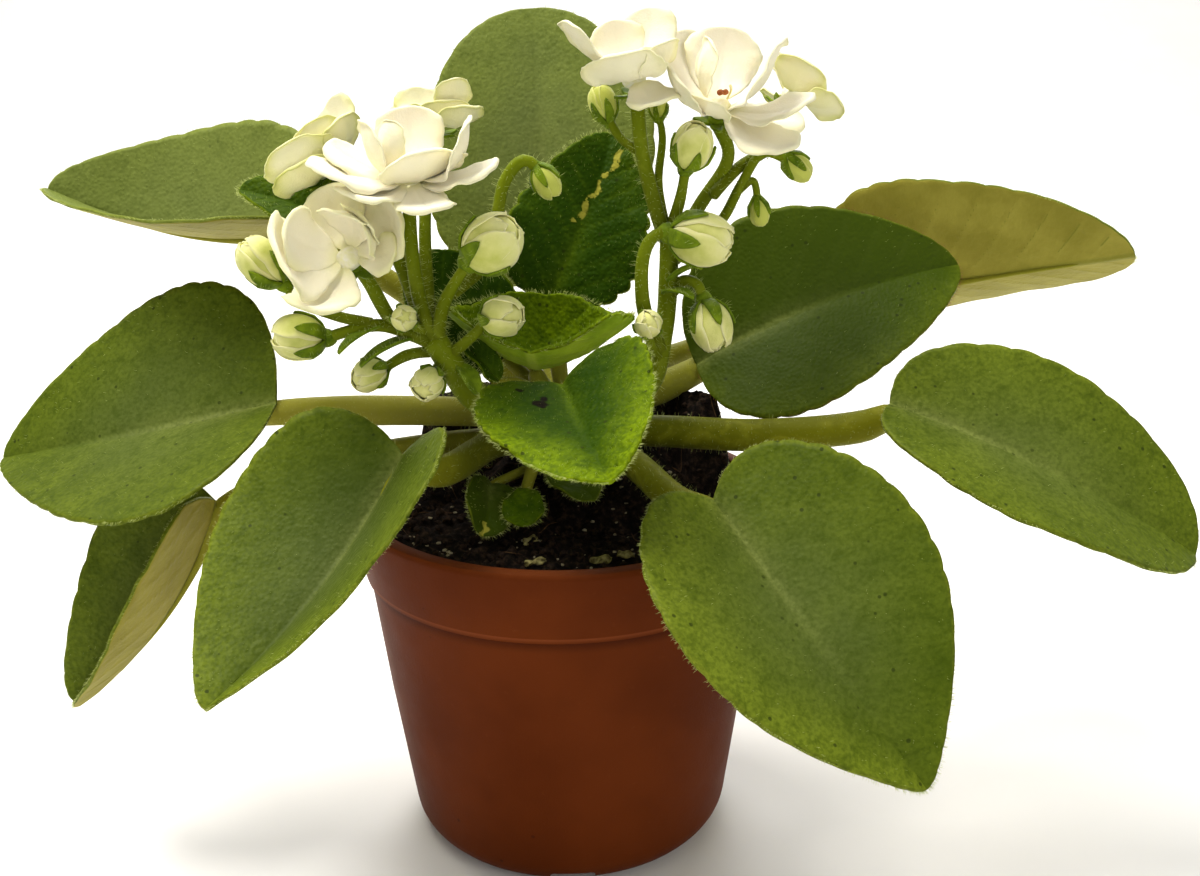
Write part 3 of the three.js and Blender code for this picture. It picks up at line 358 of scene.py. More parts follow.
# A bud has its middle, the way it faces, its radius and half of its length.
BUDS = {
    "left_1": ((-58.4, -8, 128.7), (-.5, -.1, .6), 4, 5),
    "left_2": ((-52.2, -10, 113.9), (-.9, -.2, .1), 4.2, 4.8),
    "left_3": ((-12.7, -14, 132.7), (.6, -.3, .5), 5.2, 5.8),
    "left_4": ((-11.3, -14, 118.3), (.4, -.4, .1), 3.7, 4.3),
    "left_5": ((-39, -8, 105.2), (-.4, -.4, -.1), 3, 3.5),
    "left_6": ((-26.8, -13, 104.6), (-.1, -.6, -.1), 3, 3.4),
    "left_7": ((-30.4, -15, 118.5), (.1, -.7, .2), 2.3, 2.7),
    "right_1": ((26.9, -1, 149), (.2, -.3, .8), 3.8, 4.4),
    "right_2": ((28.8, -3, 130.8), (.8, -.3, -.1), 5, 6),
    "right_3": ((17.8, -5, 113.9), (0, -.5, .3), 2.6, 3),
    "right_4": ((30.9, -3, 112.8), (.2, -.3, -.7), 4, 4.8),
}
SMALL_BUDS = {
    "small_left": ((-2.2, -3, 142.6), (.5, 0, -.8), 2.4, 3.2),
    "small_right_1": ((9.4, 6.2, 157), (-.3, .1, 1), 2.5, 3.4),
    "small_right_2": ((41.6, 6, 134.4), (.2, 0, -1), 1.9, 2.6),
    "small_right_3": ((49.6, 8.4, 143.2), (.6, .2, -.6), 2.4, 3.2),
    "small_right_4": ((20.8, 8.2, 156), (0, .2, 1), 1.6, 2.2),
}
# A stem has its line, its radii and what it carries. A bract has its base, its tip and half of its width.
STALKS = {
    "left": dict(
        stems=[
            ([(-2, 2, 92), (-9, -1, 94.5), (-17, -5, 98.6), (-26, -9, 113.5)], [2.6, 3.2, 2.5], None),
            ([(-25, -8.5, 111), (-28, -9.5, 122), (-29, -8.5, 137)], [1.5, 1.3], "bloom_left_1"),
            ([(-26, -9, 112), (-33, -9, 116), (-37.5, -8.4, 124)], [1.5, 1.3], "bloom_left_2"),
            ([(-27, -8, 112), (-33, -5, 130), (-41, -1, 140)], [1.4, 1.1], "bloom_left_3"),
            ([(-26, -8, 112), (-27, 0, 132), (-26, 6, 146)], [1.4, 1.1], "bloom_left_4"),
            ([(-37, -9.2, 116), (-45, -9, 118), (-52, -7.5, 121)], [1.2, 1], "bud_left_1"),
            ([(-28, -9, 113), (-36, -9.3, 115.8), (-43, -9, 114.5)], [1.4, 1.1], "bud_left_2"),
            ([(-25, -8, 110), (-23, -11, 120), (-19.5, -12, 126)], [1.5, 1.1], "bud_left_3"),
            ([(-24, -8, 108), (-19, -9, 112), (-15.6, -10, 115.6)], [1.3, 1], "bud_left_4"),
            ([(-25, -8, 110), (-31, -7, 109)], [1.3, 1], "bud_left_5"),
            ([(-23, -7, 108), (-25, -7.4, 106.4)], [1.3, 1], "bud_left_6"),
            ([(-26, -8, 113), (-28.6, -10, 115.5)], [1.2, .9], "bud_left_7"),
            ([(-22.5, -10, 121), (-14, -6, 128), (-12, -4, 137), (-10.4, -3, 143), (-6.5, -3, 147),
              (-2.6, -3, 144)],
             [1.3, 1.3, 1.2], None)],
        bracts=[((-21, -8, 107), (-17, -13, 102), 2.2), ((-29, -9, 113), (-40, -12, 108), 2.4),
            ((-35, -9.2, 115.8), (-44, -13, 111), 2)]),
    "right": dict(
        stems=[
            ([(3, 5, 93), (9, 3, 95.5), (18, 2, 98.5), (21.5, 3, 110), (22.4, 2, 122), (22.5, 2, 133)],
             [2.4, 2.3, 2, 1.8], None),
            ([(22, 2, 129), (19.6, 2, 137), (17, 3, 148)], [1.6, 1.4], "bloom_right_1"),
            ([(22.6, 2.5, 126), (29, 5.5, 136), (35, 6.5, 146)], [1.5, 1.3], "bloom_right_2"),
            ([(31, 3.4, 138), (38, 8, 144), (44, 10.6, 147)], [1.3, 1], "bloom_right_3"),
            ([(22.5, 2, 131), (24.6, 1, 138)], [1.3, 1], "bud_right_1"),
            ([(21, 2, 106), (17, -1.5, 117), (17.2, -2, 128), (19.4, -1.6, 131.4)],
             [1.7, 1.2], "bud_right_2"),
            ([(21, 2, 104), (18.8, 0, 108)], [1.2, .9], "bud_right_3"),
            ([(22.3, 2, 118), (25.5, 1, 121.5), (28, -.4, 121)], [1.4, 1], "bud_right_4"),
            ([(22, 2.5, 131), (20.5, 4, 141), (21.5, 7, 150), (20.9, 8, 154)], [1.1, .9, .8, .7], None),
            ([(22.8, 2.5, 125), (33.5, 6.5, 132.5), (37.5, 6, 140), (42, 6.5, 146.5), (48, 8, 144.5)],
             [1.4, 1.1, 1, .8], None),
            ([(37, 6, 139), (40, 6, 141), (41.3, 6, 136)], [.9, .8, .7], None),
            ([(17.5, 3, 147), (13, 4.5, 150), (9.6, 6, 155.4)], [1, .9, .8], None)],
        bracts=[((22, 1, 121), (30, -4, 126), 1.8), ((21, 1, 119), (27, -5, 119), 1.6)]),
}


# Finishes
TIMES = {"operation": "MULTIPLY"}
PLUS = {"operation": "ADD"}
SMOOTH = {"interpolation_type": "SMOOTHSTEP"}
COLOURS = {"data_type": "RGBA"}


def linear(colour):
    """An sRGB hex colour as linear red, green, blue and alpha."""
    parts = [int(colour[i:i + 2], 16) / 255 for i in (1, 3, 5)]
    return [p / 12.92 if p <= 0.04045 else ((p + 0.055) / 1.055) ** 2.4 for p in parts] + [1.0]


def feed(tree, socket, value):
    """Links an input to another socket, or sets it to a number or to an sRGB hex colour."""
    if isinstance(value, bpy.types.NodeSocket):
        tree.links.new(value, socket)
    elif value is not None:
        socket.default_value = linear(value) if isinstance(value, str) else value


def add(tree, kind, settings, *values, out=0, **named):
    """Adds a node with its settings and its inputs, in order or by name, and gives one of its outputs."""
    made = tree.nodes.new("ShaderNode" + kind)
    for key, value in settings.items():
        setattr(made, key, value)
    for socket, value in zip(made.inputs, values):
        feed(tree, socket, value)
    for key, value in named.items():
        feed(tree, made.inputs[key], value)
    return made.outputs[out]


def pattern(tree, size, detail=3.0, rough=0.55, distort=0.0, cells=None):
    """Lumps, or cells of one kind, about size millimetres across, on the object's own coordinates."""
    where = add(tree, "TexCoord", {}, out="Object")
    scale = 1 / (size * MM)
    if cells:
        return add(tree, "TexVoronoi", {"feature": cells}, where, Scale=scale)
    return add(tree, "TexNoise", {}, where, Scale=scale, Detail=detail, Roughness=rough, Distortion=distort)


def product(tree, *factors):
    """The product of its factors. One like (value, none, full) rises smoothly from 0 at none to 1 at full."""
    result = None
    for factor in factors:
        if isinstance(factor, tuple):
            factor = add(tree, "MapRange", SMOOTH, *factor)
        result = factor if result is None else add(tree, "Math", TIMES, result, factor)
    return result


def total(tree, base, *parts):
    """base and the sum of its parts, each the product of its factors."""
    for factors in parts:
        base = add(tree, "Math", PLUS, base, product(tree, *factors))
    return base


def coated(tree, body, *coats):
    """Coats of colour laid over body. After its colour, a coat has the factors whose product is its cover."""
    for colour, *factors in coats:
        body = add(tree, "Mix", COLOURS, product(tree, *factors), *[None] * 5, body, colour, out=2)
    return body


def shaded(tree, value, stops):
    """A colour that passes through stops, each a place and a hex colour, as value rises."""
    body = stops[0][1]
    for (low, _), (high, colour) in zip(stops, stops[1:]):
        body = coated(tree, body, (colour, add(tree, "MapRange", {}, value, low, high)))
    return body


def started(name):
    material = bpy.data.materials.new(name)
    material.use_nodes = True
    return material, material.node_tree


def dressed(material, body, height, depth, dull=0.09, **sockets):
    """Ends a material: its colour, a relief of depth millimetres and its shader's own settings.

    Down and dust dull nearly everything here, so the specular level, dull, is low."""
    tree = material.node_tree
    shader = tree.nodes["Principled BSDF"]
    relief = add(tree, "Bump", {}, Distance=depth * MM, Height=height)
    sockets.update(Base_Color=body, Normal=relief, Specular_IOR_Level=dull)
    for key, value in sockets.items():
        feed(tree, shader.inputs[key.replace("_", " ")], value)
    return material


def leaf_material(name, deep, fresh, margin, midrib, roughness, fuzz, young):
    """Living leaf: waxy green cells between sunken veins, under a nap of fine hairs."""
    material, tree = started(name)
    flat = add(tree, "Attribute", {"attribute_name": "flat"}, out="Vector")
    share, across, reach = add(tree, "SeparateXYZ", {}, flat, out=slice(3))
    beside = add(tree, "Math", {"operation": "ABSOLUTE"}, across)
    tone, vein, rot, scar, painted_sheen = [add(tree, "Attribute", {"attribute_name": key}, out="Fac")
                                   for key in ("tone", "vein", "rot", "scar", "painted_sheen")]
    mixed = total(tree, 0.0, (tone, 0.7), (pattern(tree, 12, 4), 0.5))
    off_sheen = add(tree, "Math", {"operation": "SUBTRACT", "use_clamp": True}, 1.0, product(tree, painted_sheen, 3.5))
    dark = total(tree, 0.16, (off_sheen, 0.32))
    rib = total(tree, 0.0, ((beside, 0.0016, 0.0001), 0.24), ((beside, 0.0048, 0.0005), 0.2))
    torn = total(tree, 0.2, ((pattern(tree, 1.5), 0.38, 0.56),))
    dead = total(tree, 0.5, (pattern(tree, 1.2),))
    body = coated(
        tree, deep,
        (fresh, (mixed, 0.2, 1.0)),
        # a painted sheen, laid on in pale grey-green where the leaf would catch the light
        ("#9AA468", painted_sheen),
        (midrib, (vein, 0.0, 1.0), 0.14 if young else 0.02),
        # the pale rib fades out from the leaf's base to its tip
        (midrib, rib, (share, 0.75, 0.1)),
        (margin, (reach, 0.955, 1.0), 0.4),
        # a fine mottle of cells, pale dots where hairs stand, and a few dark specks, the mottle and specks
        # fainter under the painted sheen
        (deep, (pattern(tree, 0.9, 2), 0.35, 0.7), dark),
        (deep, (pattern(tree, 3.2, 4, 0.65, 0.6), 0.48, 0.68), dark),
        (margin, (pattern(tree, 1.1, cells="F1"), 0.16, 0.05), fuzz),
        ("#26300A", (pattern(tree, 4.0, cells="F1"), 0.12, 0.075), total(tree, 0.3, (off_sheen, 0.5))),
        # a healed scar, and dead spots
        ("#949034", (product(tree, scar, torn), 0.3, 0.75)),
        ("#120D04", (product(tree, rot, dead), 0.35, 0.6)))
    height = total(tree, product(tree, pattern(tree, 0.8, cells="SMOOTH_F1"), -1.0), (pattern(tree, 3), 0.8))
    return dressed(material, body, height, 0.25 if young else 0.13, 0.04 if young else 0.07, IOR=1.42,
                   Roughness=total(tree, roughness - 0.09, (pattern(tree, 2.5), 0.18)),
                   Sheen_Weight=0.015, Sheen_Roughness=0.5, Sheen_Tint="#D8E490")


def underside_material(name, colour, shade, rib):
    """Leaf underside: pale, downy, with the veins standing out darker."""
    material, tree = started(name)
    flat = add(tree, "Attribute", {"attribute_name": "flat"}, out="Vector")
    beside = add(tree, "Math", {"operation": "ABSOLUTE"}, add(tree, "SeparateXYZ", {}, flat, out=1))
    vein = add(tree, "Attribute", {"attribute_name": "vein"}, out="Fac")
    body = coated(tree, shade, (colour, (pattern(tree, 9, 4), 0.3, 0.75)), (rib, (vein, 0.86, 1.0), 0.75),
                  (rib, (beside, 0.0014, 0.0004), 0.5))
    return dressed(material, body, total(tree, pattern(tree, 1.5), (vein, 0.6)), 0.3, Roughness=0.62,
                   IOR=1.42, Sheen_Weight=0.05, Sheen_Tint="#E8E8B8")


def stem_material(name, low, high, seam):
    """Fleshy stalk: yellow-green, translucent looking, with faint lengthwise streaks."""
    material, tree = started(name)
    run, pale = [add(tree, "Attribute", {"attribute_name": key}, out="Fac") for key in ("run", "pale")]
    body = coated(tree, low, (high, (run, 0.05, 0.85)), ("#A49E42", pale),
                  (seam, (pattern(tree, 4, distort=1.0), 0.45, 0.75), 0.5),
                  ("#C9CF8C", (pattern(tree, 0.9, cells="F1"), 0.25, 0.08), 0.08))
    return dressed(material, body, pattern(tree, 0.7), 0.1, Roughness=0.5, IOR=1.4, Sheen_Weight=0.05,
                   Sheen_Tint="#EEF2C8", Subsurface_Weight=0.08, Subsurface_Radius=(0.002, 0.002, 0.0008))


def petal_material(name, tint):
    """Petal: thin white tissue with glistening cells, flushed yellow-green when young and on its back."""
    material, tree = started(name)
    green = add(tree, "Math", PLUS, add(tree, "Attribute", {"attribute_name": "green"}, out="Fac"), tint)
    flush = product(tree, green, total(tree, 0.7, (pattern(tree, 4), 0.6)))
    body = shaded(tree, flush, [(0.0, "#F6EFDE"), (0.4, "#EEEABE"), (0.75, "#DDDD8E"), (1.0, "#BCC25A")])
    height = total(tree, pattern(tree, 2.2), (pattern(tree, 0.35, cells="F1"), 0.3))
    return dressed(material, body, height, 0.12, Roughness=0.55, IOR=1.38, Sheen_Weight=0.15,
                   Subsurface_Weight=0.35, Subsurface_Radius=(0.002, 0.0018, 0.0014))


def plain_material(name, stops, size, roughness, depth, sheen=0.0, ior=1.45):
    """A mottled finish: stops of colour over noise of the given size in millimetres, with fine relief."""
    material, tree = started(name)
    return dressed(material, shaded(tree, pattern(tree, size, 4), stops), pattern(tree, size / 4), depth,
                   Roughness=roughness, IOR=ior, Sheen_Weight=sheen)


def pot_material():
    """Moulded polypropylene, terracotta brown: satin, with faint flow marks, scuffs and specks of soil."""
    material, tree = started("moulded polypropylene")
    z = add(tree, "SeparateXYZ", {}, add(tree, "TexCoord", {}, out="Object"), out=2)
    body = coated(tree, "#542307", ("#5E290A", (pattern(tree, 30), 0.35, 0.7)),
                  ("#6E3C1C", (pattern(tree, 1.6, 5), 0.62, 0.8), 0.25),
                  ("#3A190C", (pattern(tree, 9.0, cells="F1"), 0.06, 0.03), 0.7))
    # painted shade under the step of the rim band, a painted highlight along the band's edge above it, and a
    # painted highlight along the lip
    for low, top, colour, share in ((58.6, 61.5, "#2E1004", 0.6), (61.6, 62.6, "#8A4A28", 0.35),
                                    (75.3, 77.5, "#8A4A28", 0.45)):
        body = coated(tree, body, (colour, (z, low * MM, (top - 0.09 * (top - low)) * MM),
                                   (z, (top + 0.1) * MM, (top - 0.1) * MM), share))
    # a moulded skin has a fine orange-peel of about half a millimetre
    return dressed(material, body, total(tree, pattern(tree, 0.5), (pattern(tree, 6), 0.6)), 0.05, 0.03,
                   IOR=1.49, Roughness=total(tree, 0.42, (pattern(tree, 5, 4), 0.16)))


LEAF_TOP = leaf_material(
    "african violet leaf", "#344404", "#66741A", "#7E8824", "#8C9450", roughness=0.5, fuzz=0.08,
    young=False)
YOUNG_TOP = leaf_material(
    "young african violet leaf", "#243C02", "#687E04", "#8CA018", "#6C8416", roughness=0.55, fuzz=0.2,
    young=True)
LEAF_BACK = underside_material("leaf underside", "#98913A", "#857F2C", "#6A6E20")
YOUNG_BACK = underside_material("young leaf underside", "#90A824", "#6E8A12", "#A2B440")
PETIOLE = stem_material("leaf stalk", "#5C6004", "#7C7C12", "#8C8C22")
STALK = stem_material("flower stalk", "#566002", "#687606", "#7E8A1E")
CROWN = stem_material("crown", "#6A6A22", "#7A8030", "#8A8A40")
PETAL = petal_material("flower petal", tint=0.0)
PETAL_BACK = petal_material("back of a flower petal", tint=0.16)
BUD = petal_material("closed petal", tint=0.0)
# thin leafy tissue: green and matt, in soft blotches
SEPAL = plain_material("sepal", [(0.3, "#48600A"), (0.7, "#7A9018")], 2.5, 0.55, 0.15, sheen=0.02)
# where the petals join: an even cream
HEART = plain_material("flower heart", [(0.35, "#E6E4B4"), (0.7, "#F2EFE2")], 1.2, 0.5, 0.1, sheen=0.1)
# pollen makes the sacs dusty and rust brown, and the pistil is waxy and straw coloured
ANTHER = plain_material("pollen sac", [(0.3, "#7A3A20"), (0.7, "#AC6A3E")], 0.8, 0.7, 0.08, sheen=0.1)
STYLE = plain_material("pistil", [(0.3, "#C7B56A"), (0.7, "#E4DDB2")], 0.8, 0.5, 0.05)
# glassy threads, so pale that they light up an edge, and a reddish kind that darkens it, partly its own
# colour and partly a painted shade
HAIR = plain_material("plant hair", [(0.3, "#A2B052"), (0.7, "#CCD48A")], 1.0, 0.5, 0.01, ior=1.5)
RED_HAIR_AND_SHADE = plain_material("reddish plant hair with painted shade", [(0.3, "#6B4326"), (0.7, "#9A7048")], 1.0, 0.5, 0.01, ior=1.5)
# wet plant fibre swallows the light, and what has dried on it is matt and paler
SOIL = plain_material("damp peat", [(0.35, "#080605"), (0.52, "#1A1410"), (0.7, "#3A2C22")], 1.3, 0.92, 0.5)
CRUMB = plain_material("peat crumb", [(0.35, "#0C0908"), (0.7, "#3A2C22")], 0.9, 0.9, 0.3)
SPECK = plain_material("bark and sand", [(0.3, "#6E6450"), (0.7, "#B0A68A")], 0.7, 0.85, 0.2)
LITTER = plain_material("withered petal", [(0.35, "#4A4222"), (0.62, "#A89E68")], 1.1, 0.75, 0.2)
FIBRE = plain_material("root fibre", [(0.3, "#2C1E14"), (0.7, "#5C4630")], 1.0, 0.85, 0.1)


# Hairs
SUNK = 0.97  # hairs are rooted a little inside the skin of a stem


def hair_mesh(name, roots, ways, length, radius, seed, skin=HAIR):
    """Fine tapering hairs, each bent a little, of nine triangles: three sides of a shaft and its tip."""
    rng = np.random.default_rng(seed)
    n = len(roots)
    ways = unit(ways + rng.normal(0, 0.22, (n, 3)))
    sizes = length * rng.uniform(0.6, 1.15, n)[:, None]
    across = unit(np.cross(ways, rng.normal(0, 1, (n, 3))))
    third = np.cross(ways, across)
    sway = unit(across + third * rng.normal(0, 1, (n, 1))) * sizes * 0.16
    turns = [2 * math.pi * k / 3 for k in range(3)]
    spokes = [(across * math.cos(turn) + third * math.sin(turn)) * radius for turn in turns]
    points = [roots + spoke for spoke in spokes]
    points += [roots + ways * sizes * 0.55 + sway * 0.4 + spoke * 0.7 for spoke in spokes]
    points.append(roots + ways * sizes + sway)
    starts = np.arange(n)[:, None] * len(points)
    patterns = [(k, (k + 1) % 3, 3 + (k + 1) % 3, 3 + k) for k in range(3)]
    patterns += [(3 + k, 3 + (k + 1) % 3, 6) for k in range(3)]
    faces = [face for corners in patterns for face in (starts + np.array(corners)).tolist()]
    obj = plain_mesh(name, np.stack(points, 1).reshape(-1, 3), faces, skin)
    obj.data.polygons.foreach_set("use_smooth", [True] * len(faces))
    return obj


def tube_hairs(tube, density, rng, start=0.0, end=1.0):
    """Roots and ways of hairs spread over a stem, density to a square millimetre."""
    count = max(4, int(density * 2 * math.pi * tube.radius.mean() * tube.length * (end - start)))
    along = rng.uniform(start, end, count)
    return tube.at(along, rng.uniform(0, 2 * math.pi, count), np.full(count, SUNK))


def tooth(angle, teeth):
    """The margin: small rounded teeth of uneven size, with sharp clefts between them."""
    place = angle * teeth / 2 + 0.5 * np.sin(3.7 * angle) + 0.3 * np.sin(9.1 * angle + 1)
    size = 0.7 + 0.3 * np.sin(5.3 * angle + 2) * np.sin(2.1 * angle)
    return size * (np.abs(np.sin(place)) ** 0.7 - 0.5)


def blade_hairs(blade, rng, edge_count, face_count, teeth, depth):
    """Roots and ways of hairs round the margin of a blade and over its upper face."""
    angle = rng.uniform(0.08, math.pi - 0.03, edge_count)
    hand = rng.choice([-1.0, 1.0], edge_count)
    reach = 1 + depth / blade.half * tooth(angle, teeth) - 0.004
    edge, skin, _, _ = blade.at(angle, reach, hand)
    inner = blade.at(angle, reach - 0.06, hand)[0]
    out = unit(edge - inner) + 0.35 * blade.along + rng.normal(0, 0.3, (edge_count, 1)) * skin
    angle = np.arccos(rng.uniform(-0.97, 0.97, face_count))
    reach = np.sqrt(rng.uniform(0, 0.96, face_count))
    hand = rng.choice([-1.0, 1.0], face_count)
    top, skin, _, _ = blade.at(angle, reach, hand, 0.45)
    return np.vstack([edge, top]), np.vstack([out, skin + 0.45 * blade.along])


# Leaves
def leaf_blade(name, leaf, along, across, teeth, depth):
    """A blade with its scalloped margin, its puckers between the side veins and its sunken midrib."""
    blade = Blade(**{part: leaf[part] for part in FORM if part in leaf})
    young = leaf.get("young", 0)
    seed = sum(map(ord, name)) % 17

    def place(u, v):
        angle = math.pi * u
        reach, hand = signed(v)
        margin = np.clip((reach - 0.86) / 0.14, 0, 1)
        wide = reach + margin * depth / blade.half * tooth(angle, teeth)
        _, _, x, y = blade.at(angle, reach, hand)
        share = x / blade.length
        sideways = np.abs(y) / blade.half
        phase = (share - 0.42 * sideways + 0.08 * sideways ** 2) * 7 + 0.15 * hand
        ridge = np.abs(np.sin(math.pi * phase))
        open_face = np.clip(sideways * 6, 0, 1) * np.clip((1 - reach) * 5, 0, 1)
        pucker = (0.06 + 0.34 * young) * (ridge ** 0.6 - 0.5) * open_face
        groove = -(0.22 + 0.25 * young) * np.exp(-(y / (1.3 + 0.5 * young)) ** 2) * (1 - 0.6 * share)
        swell = (0.45 + 0.35 * young) * reach ** 3 * np.sin(angle)
        swell = swell * np.sin(5.2 * angle * (1 + 0.1 * hand) + seed + hand)
        fine = 0.25 * np.sin(17 * angle + 2.1 * seed) * reach ** 4 * np.sin(angle) * (0.5 + young)
        fine *= min(1, (blade.half / 16) ** 2)
        points = blade.at(angle, wide, hand, pucker + groove + swell + fine)[0]
        rot, scar = np.zeros(len(u)), np.zeros(len(u))
        for long, beside, size, stretch in leaf.get("rot", []):
            gap = np.hypot((share - long) * blade.length, (y - beside) / stretch) / size
            rot = np.maximum(rot, np.clip(1.6 - gap, 0, 1))
        if "scar" in leaf:
            stops, places = leaf["scar"]
            middle = np.interp(share, stops, places) + 0.5 * np.sin(40 * share)
            scar = ((share > stops[0]) & (share < stops[-1])) * np.exp(-((y - middle) / 0.8) ** 2)
        # a painted sheen in the middle of the blade, with the green a little deeper under it
        sheen = np.exp(-(reach / 0.62) ** 2 - ((share - 0.42) / 0.36) ** 2)
        painted_sheen = leaf.get("painted_sheen", 0) + (0 if young else leaf.get("middle_sheen", 0.13)) * sheen
        # rise darkens the blade at its base and lightens it towards tip and margin, in part a painted shade
        # of the folded base
        tone = leaf["tone"] + leaf.get("rise", 0) * (0.6 * share + 0.6 * reach - 0.45) - 0.16 * sheen
        tone += leaf.get("side", 0) * np.clip(hand, 0, 1) * reach ** 2
        if not young:
            tone += 0.1 * (reach - 0.5)
        return points, {"flat": np.stack([share, y * MM, reach], 1), "tone": tone, "rot": rot, "scar": scar,
                        "vein": np.exp(-(ridge / 0.34) ** 2) * open_face, "painted_sheen": painted_sheen,
                        "edge": np.clip((reach - 0.2) / 0.8, 0, 1) * 0.6}
    skins = [YOUNG_TOP if young > 0.3 else LEAF_TOP, YOUNG_BACK if young > 0.5 else LEAF_BACK]
    wall = 1.0 if blade.half > 7 else 0.7
    return shaped(name, along, across, place, skins, wall, thin=0.45, up=blade.normal), blade


def petiole(name, leaf, blade):
    """A leaf's stalk, which runs on under the blade as its raised midrib."""
    thick, stalk = leaf["thick"], leaf["stalk"]
    meets = leaf.get("meets", 0.03)
    line = [*stalk, blade.under(meets, thick * 0.8 + 0.35),
            blade.under(meets + (0.5 - meets) * 0.45, thick * 0.36 + 0.55),
            blade.under(0.5 + 0.5 * meets, 0.8), blade.under(0.82, 0.55)]
    radii = [thick * 0.75, *[thick] * (len(stalk) - 1), thick * 0.8, thick * 0.36, 0.5, 0.35]
    tube = Tube(line, radii, 60, own=True)
    return stem(name, tube, 18, 56, PETIOLE, lumps=0.035, seed=thick, pale=leaf.get("pale", 0.3)), tube


def build_leaf(key, leaf, node, across):
    """A leaf with its stalk and its hairs. across is how finely its blade is cut from margin to margin."""
    rng = np.random.default_rng(sum(map(ord, key)))
    young = leaf.get("young", 0)
    half = leaf["half"]
    slot = leaf.get("slot", "young_leaf" if young else "leaf")
    teeth = int(round(2.0 * half / leaf.get("pitch", 1.55)))
    depth = 0.1 if half < 7 else leaf.get("depth", 0.75 if young else 0.6)
    obj, blade = leaf_blade("blade_" + key, leaf, max(40, min(224, teeth * 6)), across, teeth, depth)
    stalk, tube = petiole("petiole_" + key, leaf, blade)
    finished(obj, slot, node)
    finished(stalk, "stem", node)
    edges = int(half * (40 if young else 22))
    tops = int(half * half * (1.2 if young else 0.2))
    roots, ways = blade_hairs(blade, rng, edges, tops, teeth, depth)
    # the mid_right leaf's fringe is reddish, partly hair colour and partly a painted shade along its lower
    # margin
    fringe = hair_mesh("fringe_" + key, roots[:edges], ways[:edges], length=1.15 if young else 0.95,
                       radius=0.032, seed=7 + len(key), skin=RED_HAIR_AND_SHADE if key == "mid_right" else HAIR)
    nap = hair_mesh("nap_" + key, roots[edges:], ways[edges:], length=0.75, radius=0.022, seed=9 + len(key))
    finished(joined("hairs_" + key, [fringe, nap]), slot)
    roots, ways = tube_hairs(tube, 0.5, rng, start=0.02, end=0.6)
    finished(hair_mesh("down_" + key, roots, ways, length=1.2, radius=0.026, seed=3 + len(key)), "stem")


for key, leaf in LEAVES.items():
    build_leaf(key, leaf, "leaf_" + key, 38 if leaf["half"] > 20 else 26)
for key, leaf in SHOOTS.items():
    build_leaf("shoot_" + key, leaf, "shoot_" + key, 14)


# Flowers, in millimetres
HEART_DEPTH = 2.2
HEART_RADIUS = 2.6
SEAT = 0.3  # the gap between a flower or bud and its calyx
FOOT = 0.9  # the height of a calyx below that gap


def face_frame(facing):
    """The way that something faces, with the ways to its right and to its top."""
    face = unit(np.array(facing, float))
    right = np.cross([0, 0, 1.0], face)
    if np.linalg.norm(right) < 0.2:
        right = np.array([1.0, 0, 0])
    right = unit(right - face * right.dot(face))
    return face, right, np.cross(face, right)


def around(centre, axes, radius, turn, height):
    """Points at arrays of radius, turn and height about the first of three axes."""
    face, right, rise = axes
    return (np.array(centre) + (radius * np.cos(turn))[:, None] * right
            + (radius * np.sin(turn))[:, None] * rise + height[:, None] * face)


def petal_sheet(name, middle, face, tip, half, cup, green, seed):
    """One petal from the side of the heart to its tip: cupped, with a soft wavy lip that curls back."""
    tip = np.array(tip, float)
    way = unit(tip - middle)
    lean = way.dot(face)
    out = unit(way - face * lean)
    start = middle + out * 0.72 * HEART_RADIUS + face * lean * 0.36 * HEART_DEPTH
    blade = Blade(start, tip, half, full=-0.38, arch=-cup, cup=cup * 0.6, facing=face)
    rng = random.Random(seed)
    beats = [rng.uniform(0, 6.28) for _ in range(4)]
    size = 1.6 * half + 3

    def place(u, v):
        angle = math.pi * u
        reach, hand = signed(v)
        ruffle = (0.036 * np.sin(2.6 * angle * hand + beats[0])
                  + 0.024 * np.sin(6.1 * angle + beats[1] * hand)
                  + 0.009 * np.sin(13 * angle + beats[2] * hand)) * size * reach ** 3 * np.sin(angle) ** 0.5
        lip = -0.07 * size * np.clip((reach - 0.7) / 0.3, 0, 1) ** 2 * np.clip(1 - np.cos(angle), 0, 1)
        crease = -0.02 * size * np.exp(-((reach * np.sin(angle)) / 0.09) ** 2) * np.sin(angle)
        notch = 0.03 * np.sin(6 * angle + beats[3]) + 0.015 * np.sin(17 * angle + beats[0])
        points, _, x, _ = blade.at(angle, reach * (1 + notch * reach ** 6), hand, ruffle + lip + crease)
        share = np.clip(x / blade.length, 0, 1)
        rim = np.clip((reach - 0.35) / 0.65, 0, 1) * np.clip(share * 1.5, 0, 1)
        shade = (green * (0.05 + 0.3 * green) + (0.18 + 0.27 * green) * rim ** 2
                 + 0.3 * np.exp(-(share / 0.14) ** 2))
        return points, {"green": shade, "edge": reach * 0.55}
    return shaped(name, 27, 20, place, [PETAL, PETAL_BACK], wall=0.42, thin=0.35, up=blade.normal)


def ball(name, centre, axis, radius, length, sides, rows, skin, lumps=0.0, seed=1, green=None):
    """A closed rounded body about an axis, lumpy if asked."""
    axes = face_frame(axis)

    def place(u, v):
        turn = 2 * math.pi * u
        polar = math.pi * v
        wide = radius * np.sin(polar) * (1 + lumps * np.sin(3 * turn + seed) * np.sin(2 * polar))
        facts = {} if green is None else {"green": np.full(len(u), green)}
        return around(centre, axes, wide, turn, -length * np.cos(polar)), facts
    return shaped(name, sides, rows, place, [skin])


